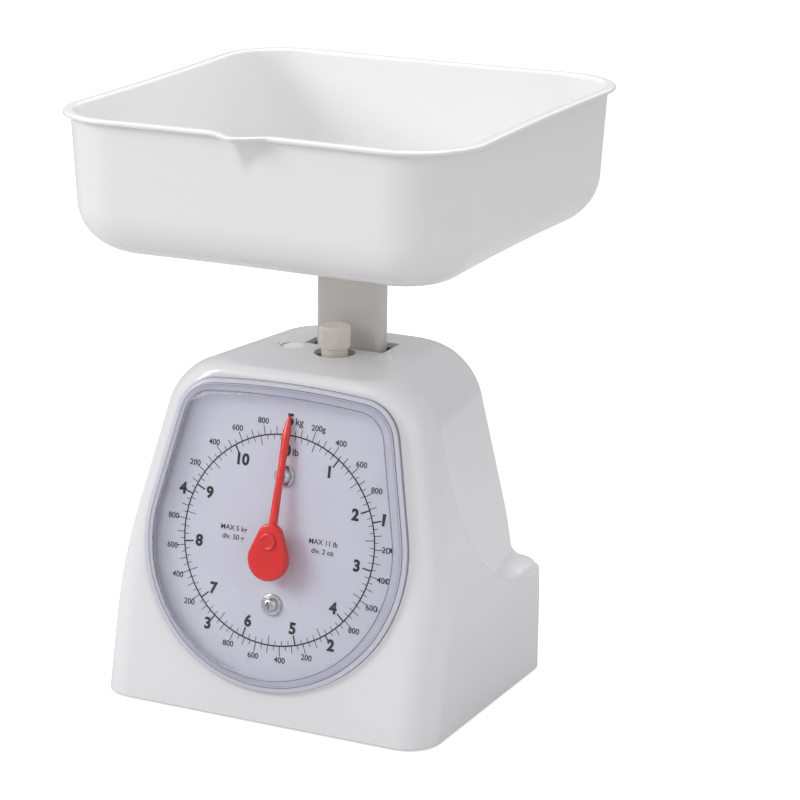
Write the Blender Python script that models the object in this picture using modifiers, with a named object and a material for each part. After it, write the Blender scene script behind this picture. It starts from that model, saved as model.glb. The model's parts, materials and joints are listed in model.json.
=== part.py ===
"""Mechanical dial platform scale, 5 kg / 11 lb, as separate sub-parts.

Frame: +Z up, the dial faces -Y, the origin is on the resting plane under the middle of the whole
scale, tray included. Sizes below are in millimetres and are laid out from the middle of the base;
an empty then moves everything to the frame's origin. The helpers turn them into Blender's metres.
"""

import bmesh
import bpy
from math import acos, asin, atan, atan2, cos, hypot, inf, pi, radians, sin, sqrt, tan
from mathutils import Matrix, Vector

MM = 0.001
GAP = 0.3  # running and assembly clearance between neighbouring pieces

# Base and housing
BASE_HALF_WIDTH = 84.0
BASE_HALF_DEPTH = 67.5
HOUSING_BOTTOM = 0.8
HOUSING_TOP = 156.5
WALL = 2.5
LEAN = radians(12.3)  # the front face and the dial lean back by this much
CURVE_START = 35.0  # the sides are upright below this height
CURVE_END = 85.0  # and lean in evenly above this one
SIDE_LEAN = 0.22
FRONT_CORNER = 14.0
REAR_CORNER = 12.0
TOP_ROUND_SIDE = 22.0
TOP_ROUND_FRONT = 4.5
TOP_ROUND_REAR = 5.0
TOWER_REAR = 55.5  # at the top; the tower's rear wall leans out below it
TOWER_REAR_LEAN = 0.09
TOWER_CORNER = 16.0
CREASE_Y = -19.5  # upright stretch of the crease on each side
CREASE_TOP = 114.0  # below this height the crease sweeps back and down to the ledge
CREASE_REACH = 64.5
CREASE_FALL = 64.0
CREASE_POWER = 1.9
TOWER_TURN = atan(0.158)  # how fast the tower narrows behind the crease
LEDGE_SLOPE = radians(14)  # the ledge falls outward
LEDGE_EDGE = 3.0  # width of the rounded edge the ledge grows towards the rear
FOOT_FILLET = 10.0
SLOT_HALF_WIDTH = 20.0
SLOT_FRONT = 17.3
SLOT_REAR = 35.5
KNOB_HOLE_RADIUS = 9.5
DIMPLE_X = 22.8
DIMPLE_Y = 10.0
DIMPLE_RADIUS = 5.6
DIMPLE_DEPTH = 0.75
DIMPLE_TILT = radians(8)  # deepest at its front edge, running out at its rear one

# Dial, lens and pointer, placed in the dial's own frame: X right, Y up the dial, Z out of it
DIAL_CENTRE = Vector((0.0, -46.7, 81.7))
DIAL_THICKNESS = 0.8
LENS_ARC_RADIUS = 66.7
LENS_ARC_Y = -2.5
LENS_SIDE_LEAN = radians(12.0)
LENS_TOP = 71.5
LENS_TOP_SLOPE = 0.044
LENS_CORNER = 20.0
LENS_WALL = 1.6
DIAL_SCREW_Y = 29.5
SHAFT_RADIUS = 1.0

# Pointer drive
MODULE = 0.5
PINION_TEETH = 12
PITCH_RADIUS = MODULE * PINION_TEETH / 2
FULL_STROKE = 2 * pi * PITCH_RADIUS / cos(LEAN)  # platform travel for one turn of the pointer
RACK_DEPTH = -16.0
RACK_THICKNESS = 3.0
RACK_TOP_Y = 22.0
RACK_EYE_Y = -14.0
ROD_RADIUS = 1.2

# Weighing linkage
POST_HALF_WIDTH = 16.5
POST_FRONT = 21.1
POST_DEPTH = 10.0
POST_BOTTOM = 112.0
ARM_REACH = 48.0
FRAME_PIVOT_Y = -22.0
CARRIER_PIVOT_Y = FRAME_PIVOT_Y + ARM_REACH
UPPER_PIVOT_Z = 127.0  # on the carrier, at rest
LOWER_PIVOT_Z = 42.0
PIVOT_DROP = FULL_STROKE / 2  # the arms are level at half load
PIN_RADIUS = 1.5
TONGUE_Z = 62.0
SHEET = 1.5
SIDE_PLATE_X = 24.0
ARM_X = 20.3
EAR_X = 17.3
POST_SCREW_Z = 117.0
FRAME_SCREW_X = 15.0
FRAME_SCREW_Y = -36.0

# Zero adjuster
KNOB_Y = 8.2
KNOB_TOP = 169.4
KNOB_RADIUS = 7.25
NECK_RADIUS = 6.2
BRIDGE_Z = 146.0
HANGER_Z = 118.0
HANGER_THICKNESS = 3.0
SCREW_RADIUS = 2.4
SPRING_X = 9.0
SPRING_RADIUS = 4.6
SPRING_WIRE = 0.6
SPRING_TURNS = 10

# Tray
TRAY_HALF_X = 99.5  # at the middle of each side, where the sides are drawn in a little
TRAY_HALF_Y = 100.5
TRAY_BOW = 0.03
TRAY_Y = 15.6
TRAY_BOTTOM = 210.6
TRAY_TOP = 274.6
TRAY_FLOOR = 2.2
TRAY_WALL = 2.0
TRAY_ROUND = 22.0
TRAY_CORNER = 37.0
TRAY_DRAFT = 0.044
RIM_LIP = 3.5
SPOUT_HALF = 14.5
SPOUT_REACH = 9.0
SPOUT_DEPTH = 15.5

# Base hardware
FOOT_X = 62.0
FOOT_Y = 50.0
BOSS_X = 77.5
BOSS_Y = (-38.0, 44.0)
BOSS_RADIUS = 4.6
PLATE_LOW = 2.6
PLATE_HIGH = 4.6


# ---------------------------------------------------------------- scene helpers

def clear_scene():
    for obj in list(bpy.data.objects):
        bpy.data.objects.remove(obj, do_unlink=True)


def collection(name):
    made = bpy.data.collections.new(name)
    bpy.context.scene.collection.children.link(made)
    return made


def material(name, colour, roughness, metallic=0.0, transmission=0.0):
    made = bpy.data.materials.new(name)
    made.use_nodes = True
    shader = made.node_tree.nodes["Principled BSDF"]
    shader.inputs["Base Color"].default_value = (*colour, 1.0)
    shader.inputs["Roughness"].default_value = roughness
    shader.inputs["Metallic"].default_value = metallic
    shader.inputs["Transmission Weight"].default_value = transmission
    return made


def place(obj, parent=None, finish=None, smooth=False):
    """Puts an object in its collection: a part has a material, a cutter has none."""
    (PARTS if finish else CUTTERS).objects.link(obj)
    if finish:
        obj.data.materials.append(finish)
    else:
        obj.hide_render = True
        obj.display_type = "WIRE"
    obj.parent = parent or SCALE
    if smooth:
        obj.data.shade_smooth()
        obj.data.set_sharp_from_angle(angle=radians(35))
    return obj


def from_bmesh(name, bm, **where):
    bmesh.ops.recalc_face_normals(bm, faces=bm.faces)
    bmesh.ops.scale(bm, vec=(MM, MM, MM), verts=bm.verts)
    mesh = bpy.data.meshes.new(name)
    bm.to_mesh(mesh)
    bm.free()
    return place(bpy.data.objects.new(name, mesh), **where)


def empty(name, centre, rotation=(0, 0, 0), parent=None):
    made = bpy.data.objects.new(name, None)
    made.location = Vector(centre) * MM
    made.rotation_euler = rotation
    made.parent = parent or SCALE
    bpy.context.scene.collection.objects.link(made)
    return made


def box(name, low, high, **where):
    low, high = Vector(low), Vector(high)
    bm = bmesh.new()
    shape = Matrix.Translation((low + high) / 2) @ Matrix.Diagonal((*(high - low), 1))
    bmesh.ops.create_cube(bm, size=1, matrix=shape)
    return from_bmesh(name, bm, **where)


def rod(name, start, end, radius, segments=16, **where):
    start, end = Vector(start), Vector(end)
    along = end - start
    bm = bmesh.new()
    turn = along.to_track_quat("Z", "Y").to_matrix().to_4x4()
    bmesh.ops.create_cone(
        bm,
        cap_ends=True,
        segments=segments,
        radius1=radius,
        radius2=radius,
        depth=along.length,
        matrix=Matrix.Translation((start + end) / 2) @ turn,
    )
    return from_bmesh(name, bm, smooth=True, **where)


def loft(name, rings, **where):
    """A closed skin through rings of equal count, with a flat cap on the first and the last."""
    bm = bmesh.new()
    rows = [[bm.verts.new(p) for p in ring] for ring in rings]
    for low, high in zip(rows, rows[1:]):
        for i in range(len(low)):
            j = (i + 1) % len(low)
            bm.faces.new((low[i], low[j], high[j], high[i]))
    bm.faces.new(rows[0][::-1])
    bm.faces.new(rows[-1])
    return from_bmesh(name, bm, **where)


def hull(name, points, **where):
    bm = bmesh.new()
    for point in points:
        bm.verts.new(point)
    bmesh.ops.convex_hull(bm, input=bm.verts)
    return from_bmesh(name, bm, **where)


def turned(name, profile, centre=(0, 0, 0), steps=24, **where):
    """A turned piece from (radius, height) points that run down its outer side."""
    mesh = bpy.data.meshes.new(name)
    ring = profile[0] == profile[-1]
    points = [(radius * MM, 0.0, height * MM) for radius, height in profile[:-1] + profile[-1:] * (not ring)]
    edges = [(i, i + 1) for i in range(len(points) - 1)]
    mesh.from_pydata(points, edges + [(len(points) - 1, 0)] * ring, [])
    obj = place(bpy.data.objects.new(name, mesh), **where)
    obj.location = Vector(centre) * MM
    screw = obj.modifiers.new("Turn", "SCREW")
    screw.steps = steps
    screw.render_steps = steps
    screw.use_merge_vertices = True
    screw.merge_threshold = 0.00001
    screw.use_smooth_shade = True
    return obj


def meshed(curve_object, **where):
    """Turns a curve object into a mesh object of the same place, with its caps welded on."""
    bpy.context.scene.collection.objects.link(curve_object)
    bpy.context.view_layer.update()
    graph = bpy.context.evaluated_depsgraph_get()
    mesh = bpy.data.meshes.new_from_object(curve_object.evaluated_get(graph))
    bm = bmesh.new()
    bm.from_mesh(mesh)
    bmesh.ops.remove_doubles(bm, verts=bm.verts, dist=0.000001)
    bmesh.ops.recalc_face_normals(bm, faces=bm.faces)
    bm.to_mesh(mesh)
    bm.free()
    made = bpy.data.objects.new(curve_object.name, mesh)
    made.matrix_world = curve_object.matrix_world
    name = curve_object.name
    bpy.data.objects.remove(curve_object, do_unlink=True)
    made.name = name
    return place(made, **where)


def plate(name, outline, thickness, pose=None, **where):
    """A flat outline of the given thickness, centred on its plane. pose is a matrix in mm."""
    curve = bpy.data.curves.new(name, "CURVE")
    curve.dimensions = "2D"
    curve.fill_mode = "BOTH"
    curve.extrude = thickness * MM / 2
    spline = curve.splines.new("POLY")
    spline.points.add(len(outline) - 1)
    for point, (x, y) in zip(spline.points, outline):
        point.co = (x * MM, y * MM, 0, 1)
    spline.use_cyclic_u = True
    obj = bpy.data.objects.new(name, curve)
    pose = pose or Matrix()
    obj.matrix_world = Matrix.Translation(pose.translation * MM) @ pose.to_3x3().to_4x4()
    return meshed(obj, **where)


def wire(name, points, radius, **where):
    curve = bpy.data.curves.new(name, "CURVE")
    curve.dimensions = "3D"
    curve.bevel_depth = radius * MM
    curve.bevel_resolution = 2
    curve.use_fill_caps = True
    spline = curve.splines.new("POLY")
    spline.points.add(len(points) - 1)
    for point, co in zip(spline.points, points):
        point.co = (*(Vector(co) * MM), 1)
    return meshed(bpy.data.objects.new(name, curve), smooth=True, **where)


def combine(obj, operation, *others):
    for other in others:
        modifier = obj.modifiers.new(other.name, "BOOLEAN")
        modifier.operation = operation
        modifier.object = other
        modifier.solver = "EXACT"
    return obj


def cut(obj, *cutters):
    return combine(obj, "DIFFERENCE", *cutters)


def join(obj, *others):
    return combine(obj, "UNION", *others)


# ---------------------------------------------------------------- outline helpers

def arc(cx, cy, radius, start, end, segments):
    step = (end - start) / segments
    angles = [start + step * i for i in range(segments + 1)]
    return [(cx + radius * cos(a), cy + radius * sin(a)) for a in angles]


def rounded_box(x_low, x_high, y_low, y_high, radii, segments=4):
    """Anticlockwise outline; radii for the corners front right, rear right, rear left, front left."""
    corners = ((x_high, y_low, -1, 1), (x_high, y_high, -1, -1), (x_low, y_high, 1, -1), (x_low, y_low, 1, 1))
    points = []
    for number, ((x, y, sx, sy), radius) in enumerate(zip(corners, radii)):
        start = -pi / 2 + number * pi / 2
        points += arc(x + sx * radius, y + sy * radius, radius, start, start + pi / 2, segments)
    return points


def at_height(outline, z):
    return [(x, y, z) for x, y in outline]


def upright(x):
    """Pose that stands a plate drawn in (Y, Z) across the X axis."""
    turn = Matrix(((0, 0, 1), (1, 0, 0), (0, 1, 0))).to_4x4()
    return Matrix.Translation((x, 0, 0)) @ turn


# ---------------------------------------------------------------- housing

def side_x(z):
    """Half width of the housing's side at a height, before its top edge is rounded."""
    if z <= CURVE_START:
        return BASE_HALF_WIDTH
    bend = SIDE_LEAN / (2 * (CURVE_END - CURVE_START))
    if z <= CURVE_END:
        return BASE_HALF_WIDTH - bend * (z - CURVE_START) ** 2
    return BASE_HALF_WIDTH - bend * (CURVE_END - CURVE_START) ** 2 - SIDE_LEAN * (z - CURVE_END)


def round_over(z, radius, top):
    """How far a rounding of this radius has drawn the wall in at a height."""
    rise = z - (top - radius)
    return 0.0 if rise <= 0 else radius - sqrt(max(radius * radius - rise * rise, 0.0))


def housing_heights(top, low):
    below = [low, CURVE_START, 47.0, 60.0, 72.0, CURVE_END]
    turn = [top - TOP_ROUND_SIDE * (1 - sin(radians(a))) for a in (0, 20, 38, 54, 68, 80)]
    return below + turn + [top]


def envelope(name, inset, low, **where):
    """The housing's front, sides, rear and top, drawn in by inset on every face."""
    top = HOUSING_TOP - inset
    rings = []
    for z in housing_heights(top, low):
        half = side_x(z) - inset - round_over(z, TOP_ROUND_SIDE - inset, top)
        front = -BASE_HALF_DEPTH + z * tan(LEAN) + inset / cos(LEAN)
        front += round_over(z, TOP_ROUND_FRONT, top)
        radii = [corner - inset for corner in (FRONT_CORNER, REAR_CORNER, REAR_CORNER, FRONT_CORNER)]
        rings.append(at_height(rounded_box(-half, half, front, BASE_HALF_DEPTH - inset, radii), z))
    return loft(name, rings, **where)


def crease_height(y):
    """Height of the crease on the housing's side: upright at the front, level towards the rear."""
    if y <= CREASE_Y:
        return CREASE_TOP + 0.3 * (CREASE_Y - y)
    share = max(1 - (y - CREASE_Y) / CREASE_REACH, 0.0)
    return CREASE_TOP - CREASE_FALL * (1 - share**CREASE_POWER) ** (1 / CREASE_POWER)


def tower_plan(z, inset):
    """(half width at the crease, corner centre x, corner centre y, rear y) of the tower at a height."""
    top = HOUSING_TOP - inset
    level = min(z, top)
    side = side_x(level) - inset - round_over(level, TOP_ROUND_SIDE - inset, top)
    rear = TOWER_REAR + TOWER_REAR_LEAN * (top - level) - inset
    rear -= round_over(level, TOP_ROUND_REAR, top)
    radius = TOWER_CORNER - inset
    corner_y = rear - radius
    corner_x = side - tan(TOWER_TURN) * (corner_y - CREASE_Y) - radius / cos(TOWER_TURN)
    return side, corner_x, corner_y, rear


def tower_point(column, z, inset):
    """(point, outward direction in plan) on the tower's wall, for one column of its skin."""
    kind, share = column
    side, corner_x, corner_y, rear = tower_plan(z, inset)
    radius = TOWER_CORNER - inset
    if kind == "side":
        end = corner_y + radius * sin(TOWER_TURN)
        y = share if share <= 0 else share * end / side_end(inset)
        turn = TOWER_TURN * min(max(share / side_end(inset), 0.0), 1.0)
        return Vector((side - tan(TOWER_TURN) * (y - CREASE_Y), y, z)), Vector((cos(turn), sin(turn), 0))
    if kind == "corner":
        out = Vector((cos(share), sin(share), 0))
        return Vector((corner_x, corner_y, z)) + radius * out, out
    return Vector((corner_x * share, rear, z)), Vector((0, 1, 0))


def side_end(inset):
    """Where the tower's side meets its rear corner, at the ledge's height."""
    radius = TOWER_CORNER - inset
    return tower_plan(CREASE_TOP - CREASE_FALL, inset)[2] + radius * sin(TOWER_TURN)


def scoop_columns(inset):
    columns = [("side", y) for y in (CREASE_Y - 7, CREASE_Y - 3)]
    steps = 12
    for i in range(steps + 1):
        a = (pi / 2) * i / steps
        y = CREASE_Y + CREASE_REACH * (1 - cos(a) ** (2 / CREASE_POWER))
        if y < side_end(inset) - 1:
            columns.append(("side", y))
    turns = 5
    columns += [("corner", TOWER_TURN + (pi / 2 - TOWER_TURN) * i / turns) for i in range(turns + 1)]
    return columns + [("rear", 0.5)]


def edge_distance(point, out, inset):
    """Distance from a point of the tower's foot straight outward to the base's outline."""
    half, rear, radius = side_x(point.z) - inset, BASE_HALF_DEPTH - inset, REAR_CORNER - inset
    across = (half - point.x) / out.x if out.x > 0 else inf
    back = (rear - point.y) / out.y if out.y > 0 else inf
    reach = min(across, back)
    hit = point + out * reach
    if hit.x > half - radius and hit.y > rear - radius:
        offset = Vector((point.x - half + radius, point.y - rear + radius, 0))
        along = offset.dot(out)
        reach = sqrt(along * along - offset.length_squared + radius * radius) - along
    return max(reach, 0.3)


def scoop_column(column, inset):
    """Points from above the housing down the tower's wall, round its foot and out over the ledge."""
    kind, share = column
    fillet = FOOT_FILLET + inset
    y = share if kind == "side" else CREASE_Y + CREASE_REACH
    edge = crease_height(y) - inset
    point, out = tower_point(column, edge, inset)
    start = atan(SIDE_LEAN * min(max((edge - CURVE_START) / (CURVE_END - CURVE_START), 0), 1) * out.x)
    reach = edge_distance(point, out, inset)
    brow = min(LEDGE_EDGE * min(max((y - 22) / 25, 0.02), 1.0), 0.6 * reach)
    shoulder = reach - brow
    high = edge + 1.2 * brow
    bend = pi / 2 - LEDGE_SLOPE
    flat = shoulder - fillet * (cos(start) - cos(bend))
    if flat > 0:
        low = high - fillet * (1 - sin(bend)) + tan(LEDGE_SLOPE) * flat
    else:
        bend = acos(cos(start) - shoulder / fillet)
        low = high - fillet * (1 - sin(bend))
    foot = low + fillet * (1 - sin(start))
    above = HOUSING_TOP + 20
    split = CREASE_TOP + 9
    heights = [above] + [z for z in housing_heights(HOUSING_TOP - inset, 0)[::-1] if z >= split]
    rows = 4
    heights += [split + (foot - split) * i / rows for i in range(rows)]
    points = [tower_point(column, z, inset)[0] for z in heights]
    base = tower_point(column, foot, inset)[0]
    turns = 5
    for i in range(turns + 1):
        a = start + (bend - start) * i / turns
        away = base + out * fillet * (cos(start) - cos(a))
        points.append(Vector((away.x, away.y, low + fillet * (1 - sin(a)))))
    for distance, z in ((shoulder + 0.02, high - 0.01), (reach - 0.45 * brow, edge + 0.75 * brow), (reach, edge)):
        away = base + out * distance
        points.append(Vector((away.x, away.y, z)))
    far = base + out * (reach + 60)
    return points + [Vector((far.x, far.y, edge)), Vector((far.x, far.y, above))]


def scoop(name, inset):
    """The space behind the crease and outside the tower."""
    half = [scoop_column(column, inset) for column in scoop_columns(inset)]
    middle = scoop_column(("rear", 0.0), inset)
    mirrored = [[(-p.x, p.y, p.z) for p in column] for column in half[::-1]]
    return loft(name, half + [middle] + mirrored)


def lens_outline(inset=0.0, segments=22):
    """The lens's outline in the dial's frame: a round foot, leaning sides and rounded shoulders."""
    radius = LENS_ARC_RADIUS - inset
    lean = LENS_SIDE_LEAN
    top = LENS_TOP - inset
    start_x = radius * cos(lean)
    start_y = LENS_ARC_Y + radius * sin(lean)
    slope = tan(lean)
    corner_x = (start_x - (top - start_y) * slope) / (1 - LENS_TOP_SLOPE * slope)
    corner_y = top - LENS_TOP_SLOPE * corner_x
    fillet = max(LENS_CORNER - inset, 3.0)
    top_lean = atan(LENS_TOP_SLOPE)
    turn = pi / 2 - lean - top_lean
    back = fillet * tan(turn / 2)
    meet_x = corner_x + back * sin(lean)
    meet_y = corner_y - back * cos(lean)
    shoulder = arc(meet_x - fillet * cos(lean), meet_y - fillet * sin(lean), fillet, lean, lean + turn, 6)
    right = shoulder + [(0.0, top)]
    foot = arc(0, LENS_ARC_Y, radius, -pi - lean, lean, segments)
    left = [(-x, y) for x, y in shoulder[::-1]]
    return foot + right + left


def housing(finish):
    shell = envelope("housing", 0.0, HOUSING_BOTTOM, finish=finish)
    cut(shell, scoop("scoop_outside", 0.0))
    cavity = envelope("cavity", WALL, HOUSING_BOTTOM - 10)
    cut(cavity, scoop("scoop_inside", WALL))
    cut(shell, cavity)
    bosses = [(sx * BOSS_X, y) for sx in (-1, 1) for y in BOSS_Y]
    for number, (x, y) in enumerate(bosses):
        tag = f"boss_{number}"
        join(shell, rod(tag, (x, y, PLATE_HIGH + GAP), (x, y, 30), BOSS_RADIUS, 12))
        cut(shell, rod(tag + "_hole", (x, y, 0), (x, y, 20), 1.5, 10))
    opening = plate("dial_opening", lens_outline(3.0), 16, Matrix.Translation((0, 0, 4)), parent=DIAL)
    low, high = HOUSING_TOP - 16, HOUSING_TOP + 14
    slot = box("post_slot", (-SLOT_HALF_WIDTH, SLOT_FRONT, low), (SLOT_HALF_WIDTH, SLOT_REAR, high))
    knob_hole = rod("knob_hole", (0, KNOB_Y, low), (0, KNOB_Y, high), KNOB_HOLE_RADIUS, 24)
    cut(shell, opening, slot, knob_hole)
    up = Vector((0, -sin(DIMPLE_TILT), cos(DIMPLE_TILT)))
    for number, sx in enumerate((-1, 1)):
        dish = Vector((sx * DIMPLE_X, DIMPLE_Y, HOUSING_TOP - DIMPLE_DEPTH))
        cut(shell, rod(f"dimple_{number}", dish, dish + 6 * up, DIMPLE_RADIUS, 16))
    return shell


# ---------------------------------------------------------------- base plate, feet and screws

def foot(name, x, y, finish):
    lip = PLATE_HIGH + GAP
    profile = [(0, lip + 1.6), (3.2, lip + 1.6), (4.3, lip), (2.9, lip), (2.9, PLATE_LOW - GAP)]
    profile += [(7.0, PLATE_LOW - GAP), (7.5, 1.6), (7.0, 0), (0, 0)]
    return turned(name, profile, (x, y, 0), 16, finish=finish)


def pan_screw(name, centre, length, radius=1.2, head=2.8, finish=None, parent=None, head_height=1.5):
    """A pan-head screw whose head stands below centre and whose shank points up."""
    profile = [(0, length), (radius * 0.6, length), (radius, length - 1), (radius, 0), (head, 0)]
    profile += [(head, -0.5 * head_height), (head * 0.7, -head_height), (0, -head_height)]
    return turned(name, profile, centre, 12, finish=finish, parent=parent)


def base_plate(finish):
    inset = WALL + 0.4
    z = (PLATE_LOW + PLATE_HIGH) / 2
    half = BASE_HALF_WIDTH - inset
    front = -BASE_HALF_DEPTH + PLATE_HIGH * tan(LEAN) + inset
    rear = BASE_HALF_DEPTH - inset
    radii = [FRONT_CORNER - inset, REAR_CORNER - inset, REAR_CORNER - inset, FRONT_CORNER - inset]
    outline = rounded_box(-half, half, front, rear, radii, 3)
    made = plate("base_plate", outline, PLATE_HIGH - PLATE_LOW, Matrix.Translation((0, 0, z)), finish=finish)
    stop_top = 35.0 - FULL_STROKE - 0.6
    join(made, box("overload_stop", (-7, 28, PLATE_LOW + 0.5), (7, 36, stop_top)))
    holes = [(sx * FOOT_X, sy * FOOT_Y, 3.2) for sx in (-1, 1) for sy in (-1, 1)]
    holes += [(sx * BOSS_X, y, 1.6) for sx in (-1, 1) for y in BOSS_Y]
    holes += [(sx * FRAME_SCREW_X, FRAME_SCREW_Y, 1.6) for sx in (-1, 1)]
    for number, (x, y, radius) in enumerate(holes):
        cut(made, rod(f"plate_hole_{number}", (x, y, 0), (x, y, 8), radius, 12))
    return made


def base_hardware(rubber, steel, plastic):
    base_plate(plastic)
    for y_word, sy in (("front", -1), ("rear", 1)):
        for x_word, sx in (("left", -1), ("right", 1)):
            foot(f"foot_{y_word}_{x_word}", sx * FOOT_X, sy * FOOT_Y, rubber)
            boss_y = BOSS_Y[0] if sy < 0 else BOSS_Y[1]
            seat = (sx * BOSS_X, boss_y, PLATE_LOW - GAP)
            pan_screw(f"base_screw_{y_word}_{x_word}", seat, 14, finish=steel)
    for x_word, sx in (("left", -1), ("right", 1)):
        seat = (sx * FRAME_SCREW_X, FRAME_SCREW_Y, PLATE_LOW - GAP)
        pan_screw(f"frame_screw_{x_word}", seat, 8, finish=steel)


# ---------------------------------------------------------------- mechanism frame

def behind_dial(z, depth):
    """Y of a plane parallel to the dial and depth behind its face, at a height."""
    return DIAL_CENTRE.y + (z - DIAL_CENTRE.z) * tan(LEAN) + depth / cos(LEAN)


def frame(finish):
    """Bent sheet: a front plate behind the dial, two side plates, a top bridge and a foot flange."""
    front, back = 10.0, 10.0 + SHEET
    top = BRIDGE_Z + SHEET
    foot_z = PLATE_HIGH + GAP
    half = SIDE_PLATE_X + SHEET
    rings = []
    for z in (foot_z, top):
        near, far = behind_dial(z, front), behind_dial(z, back)
        rings.append([(-half, near, z), (half, near, z), (half, far, z), (-half, far, z)])
    made = loft("frame", rings, finish=finish)
    low, high = foot_z + 0.05, top - 0.05
    outline = [
        (behind_dial(low, front + 0.4), low),
        (-14, low),
        (-14, 128),
        (KNOB_Y + 9, 138),
        (KNOB_Y + 9, high),
        (behind_dial(high, front + 0.4), high),
    ]
    for number, sx in enumerate((-1, 1)):
        x = sx * (SIDE_PLATE_X + SHEET / 2 - 0.05)
        join(made, plate(f"side_plate_{number}", outline, SHEET, upright(x)))
    bridge_front = behind_dial(BRIDGE_Z, front + 0.5)
    join(made, box("bridge", (-half + 0.2, bridge_front, BRIDGE_Z), (half - 0.2, KNOB_Y + 8.8, top - 0.1)))
    flange_front = behind_dial(foot_z, front + 0.6)
    join(made, box("flange", (-half + 0.3, flange_front, foot_z + 0.1), (half - 0.3, -28, foot_z + SHEET)))
    cut(made, rod("bridge_hole", (0, KNOB_Y, 140), (0, KNOB_Y, 152), SCREW_RADIUS + GAP, 16))
    for tag, z in (("upper", UPPER_PIVOT_Z), ("lower", LOWER_PIVOT_Z)):
        y, z = FRAME_PIVOT_Y, z - PIVOT_DROP
        cut(made, rod(f"{tag}_frame_bore", (-40, y, z), (40, y, z), PIN_RADIUS + GAP, 16))
    for number, sx in enumerate((-1, 1)):
        x, y = sx * FRAME_SCREW_X, FRAME_SCREW_Y
        cut(made, rod(f"flange_hole_{number}", (x, y, 0), (x, y, 12), 1.5, 10))
    cut(made, rod("bush_bore", (0, 0, -20), (0, 0, 0), 3.3, 16, parent=DIAL))
    for number, sy in enumerate((-1, 1)):
        y = sy * DIAL_SCREW_Y
        cut(made, rod(f"dial_screw_bore_{number}", (0, y, -20), (0, y, 0), 1.5, 10, parent=DIAL))
    for number, sx in enumerate((-1, 1)):
        x = sx * 18.0
        cut(made, rod(f"bracket_screw_bore_{number}", (x, 0, -20), (x, 0, 0), 1.3, 10, parent=DIAL))
    return made


def frame_pins(finish):
    for tag, z in (("upper", UPPER_PIVOT_Z), ("lower", LOWER_PIVOT_Z)):
        y, z = FRAME_PIVOT_Y, z - PIVOT_DROP
        reach = SIDE_PLATE_X + SHEET + 1.6
        rod(f"{tag}_frame_pin", (-reach, y, z), (reach, y, z), PIN_RADIUS, 16, finish=finish)


# ---------------------------------------------------------------- dial assembly

def dial_plate(finish):
    pose = Matrix.Translation((0, 0, -DIAL_THICKNESS / 2))
    made = plate("dial_plate", lens_outline(2.0), DIAL_THICKNESS, pose, finish=finish, parent=DIAL)
    holes = [(0, 0, 3.0), (0, DIAL_SCREW_Y, 1.8), (0, -DIAL_SCREW_Y, 1.8)]
    for number, (x, y, radius) in enumerate(holes):
        cut(made, rod(f"dial_hole_{number}", (x, y, -5), (x, y, 5), radius, 16, parent=DIAL))
    return made


def dial_fasteners(steel, brass):
    for word, sy in (("top", 1), ("bottom", -1)):
        y = sy * DIAL_SCREW_Y
        washer = [(1.9, 1.2), (4.4, 1.2), (5.0, 0.9), (5.0, GAP), (1.9, GAP), (1.9, 1.2)]
        turned(f"dial_washer_{word}", washer, (0, y, 0), 24, finish=steel, parent=DIAL)
        seat = 1.2 + GAP
        head = [(0, seat + 2.3), (1.6, seat + 2.2), (2.9, seat + 1.5), (3.5, seat + 0.6), (3.5, seat)]
        shank = [(1.2, seat), (1.2, -13.5), (0.7, -14.5), (0, -14.5)]
        turned(f"dial_screw_{word}", head + shank, (0, y, 0), 24, finish=steel, parent=DIAL)
        low, high = -10 + GAP, -DIAL_THICKNESS - GAP
        spacer = [(1.7, high), (4.0, high), (4.0, low), (1.7, low), (1.7, high)]
        turned(f"dial_spacer_{word}", spacer, (0, y, 0), 16, finish=brass, parent=DIAL)


def lens(finish):
    """A clear cover: flange on the housing, a stepped border and a gently crowned face."""
    base = 3.3
    rows = [(0.0, base), (0.0, 4.6), (0.6, 5.2), (2.6, 5.4), (3.0, 5.9), (6.2, 8.3), (7.2, 8.9)]
    inner = [(6.6, 6.6), (4.2, 4.6), (4.2, 1.2), (3.4, 1.2), (3.4, base)]
    edge, rim_height, crown_rise = lens_outline(rows[-1][0], 18), rows[-1][1], 5.1
    crown = []
    for share in (0.86, 0.62, 0.34):
        height = rim_height + crown_rise * (1 - share**2)
        crown.append(([(x * share, y * share) for x, y in edge], height))
    outer_rings = [at_height(lens_outline(inset, 18), height) for inset, height in rows]
    outer_rings += [at_height(outline, height) for outline, height in crown]
    inner_rings = [at_height(outline, height - LENS_WALL) for outline, height in crown[::-1]]
    inner_rings.append(at_height(edge, rim_height - LENS_WALL))
    inner_rings += [at_height(lens_outline(inset, 18), height) for inset, height in inner]
    return closed_shell("lens", outer_rings, inner_rings, finish=finish, parent=DIAL)


def closed_shell(name, outer, inner, **where):
    """A thin shell: outer rings run up to a cap, inner rings run back down from one to the start."""
    bm = bmesh.new()
    rows = [[bm.verts.new(p) for p in ring] for ring in outer + inner]
    crown = len(outer) - 1
    for number, (low, high) in enumerate(zip(rows, rows[1:] + rows[:1])):
        if number == crown:
            continue
        for i in range(len(low)):
            j = (i + 1) % len(low)
            bm.faces.new((low[i], low[j], high[j], high[i]))
    bm.faces.new(rows[crown])
    bm.faces.new(rows[crown + 1][::-1])
    return from_bmesh(name, bm, smooth=True, **where)


def egg_outline():
    """The pointer's hub: a round foot joined by straight flanks to a smaller round head."""
    foot_y, foot_radius = -8.0, 9.9
    head_y, head_radius = 2.3, 6.0
    lean = asin((foot_radius - head_radius) / (head_y - foot_y))
    low = arc(0, foot_y, foot_radius, -pi - lean, lean, 14)
    high = arc(0, head_y, head_radius, lean, pi - lean, 8)
    return low + high


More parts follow.
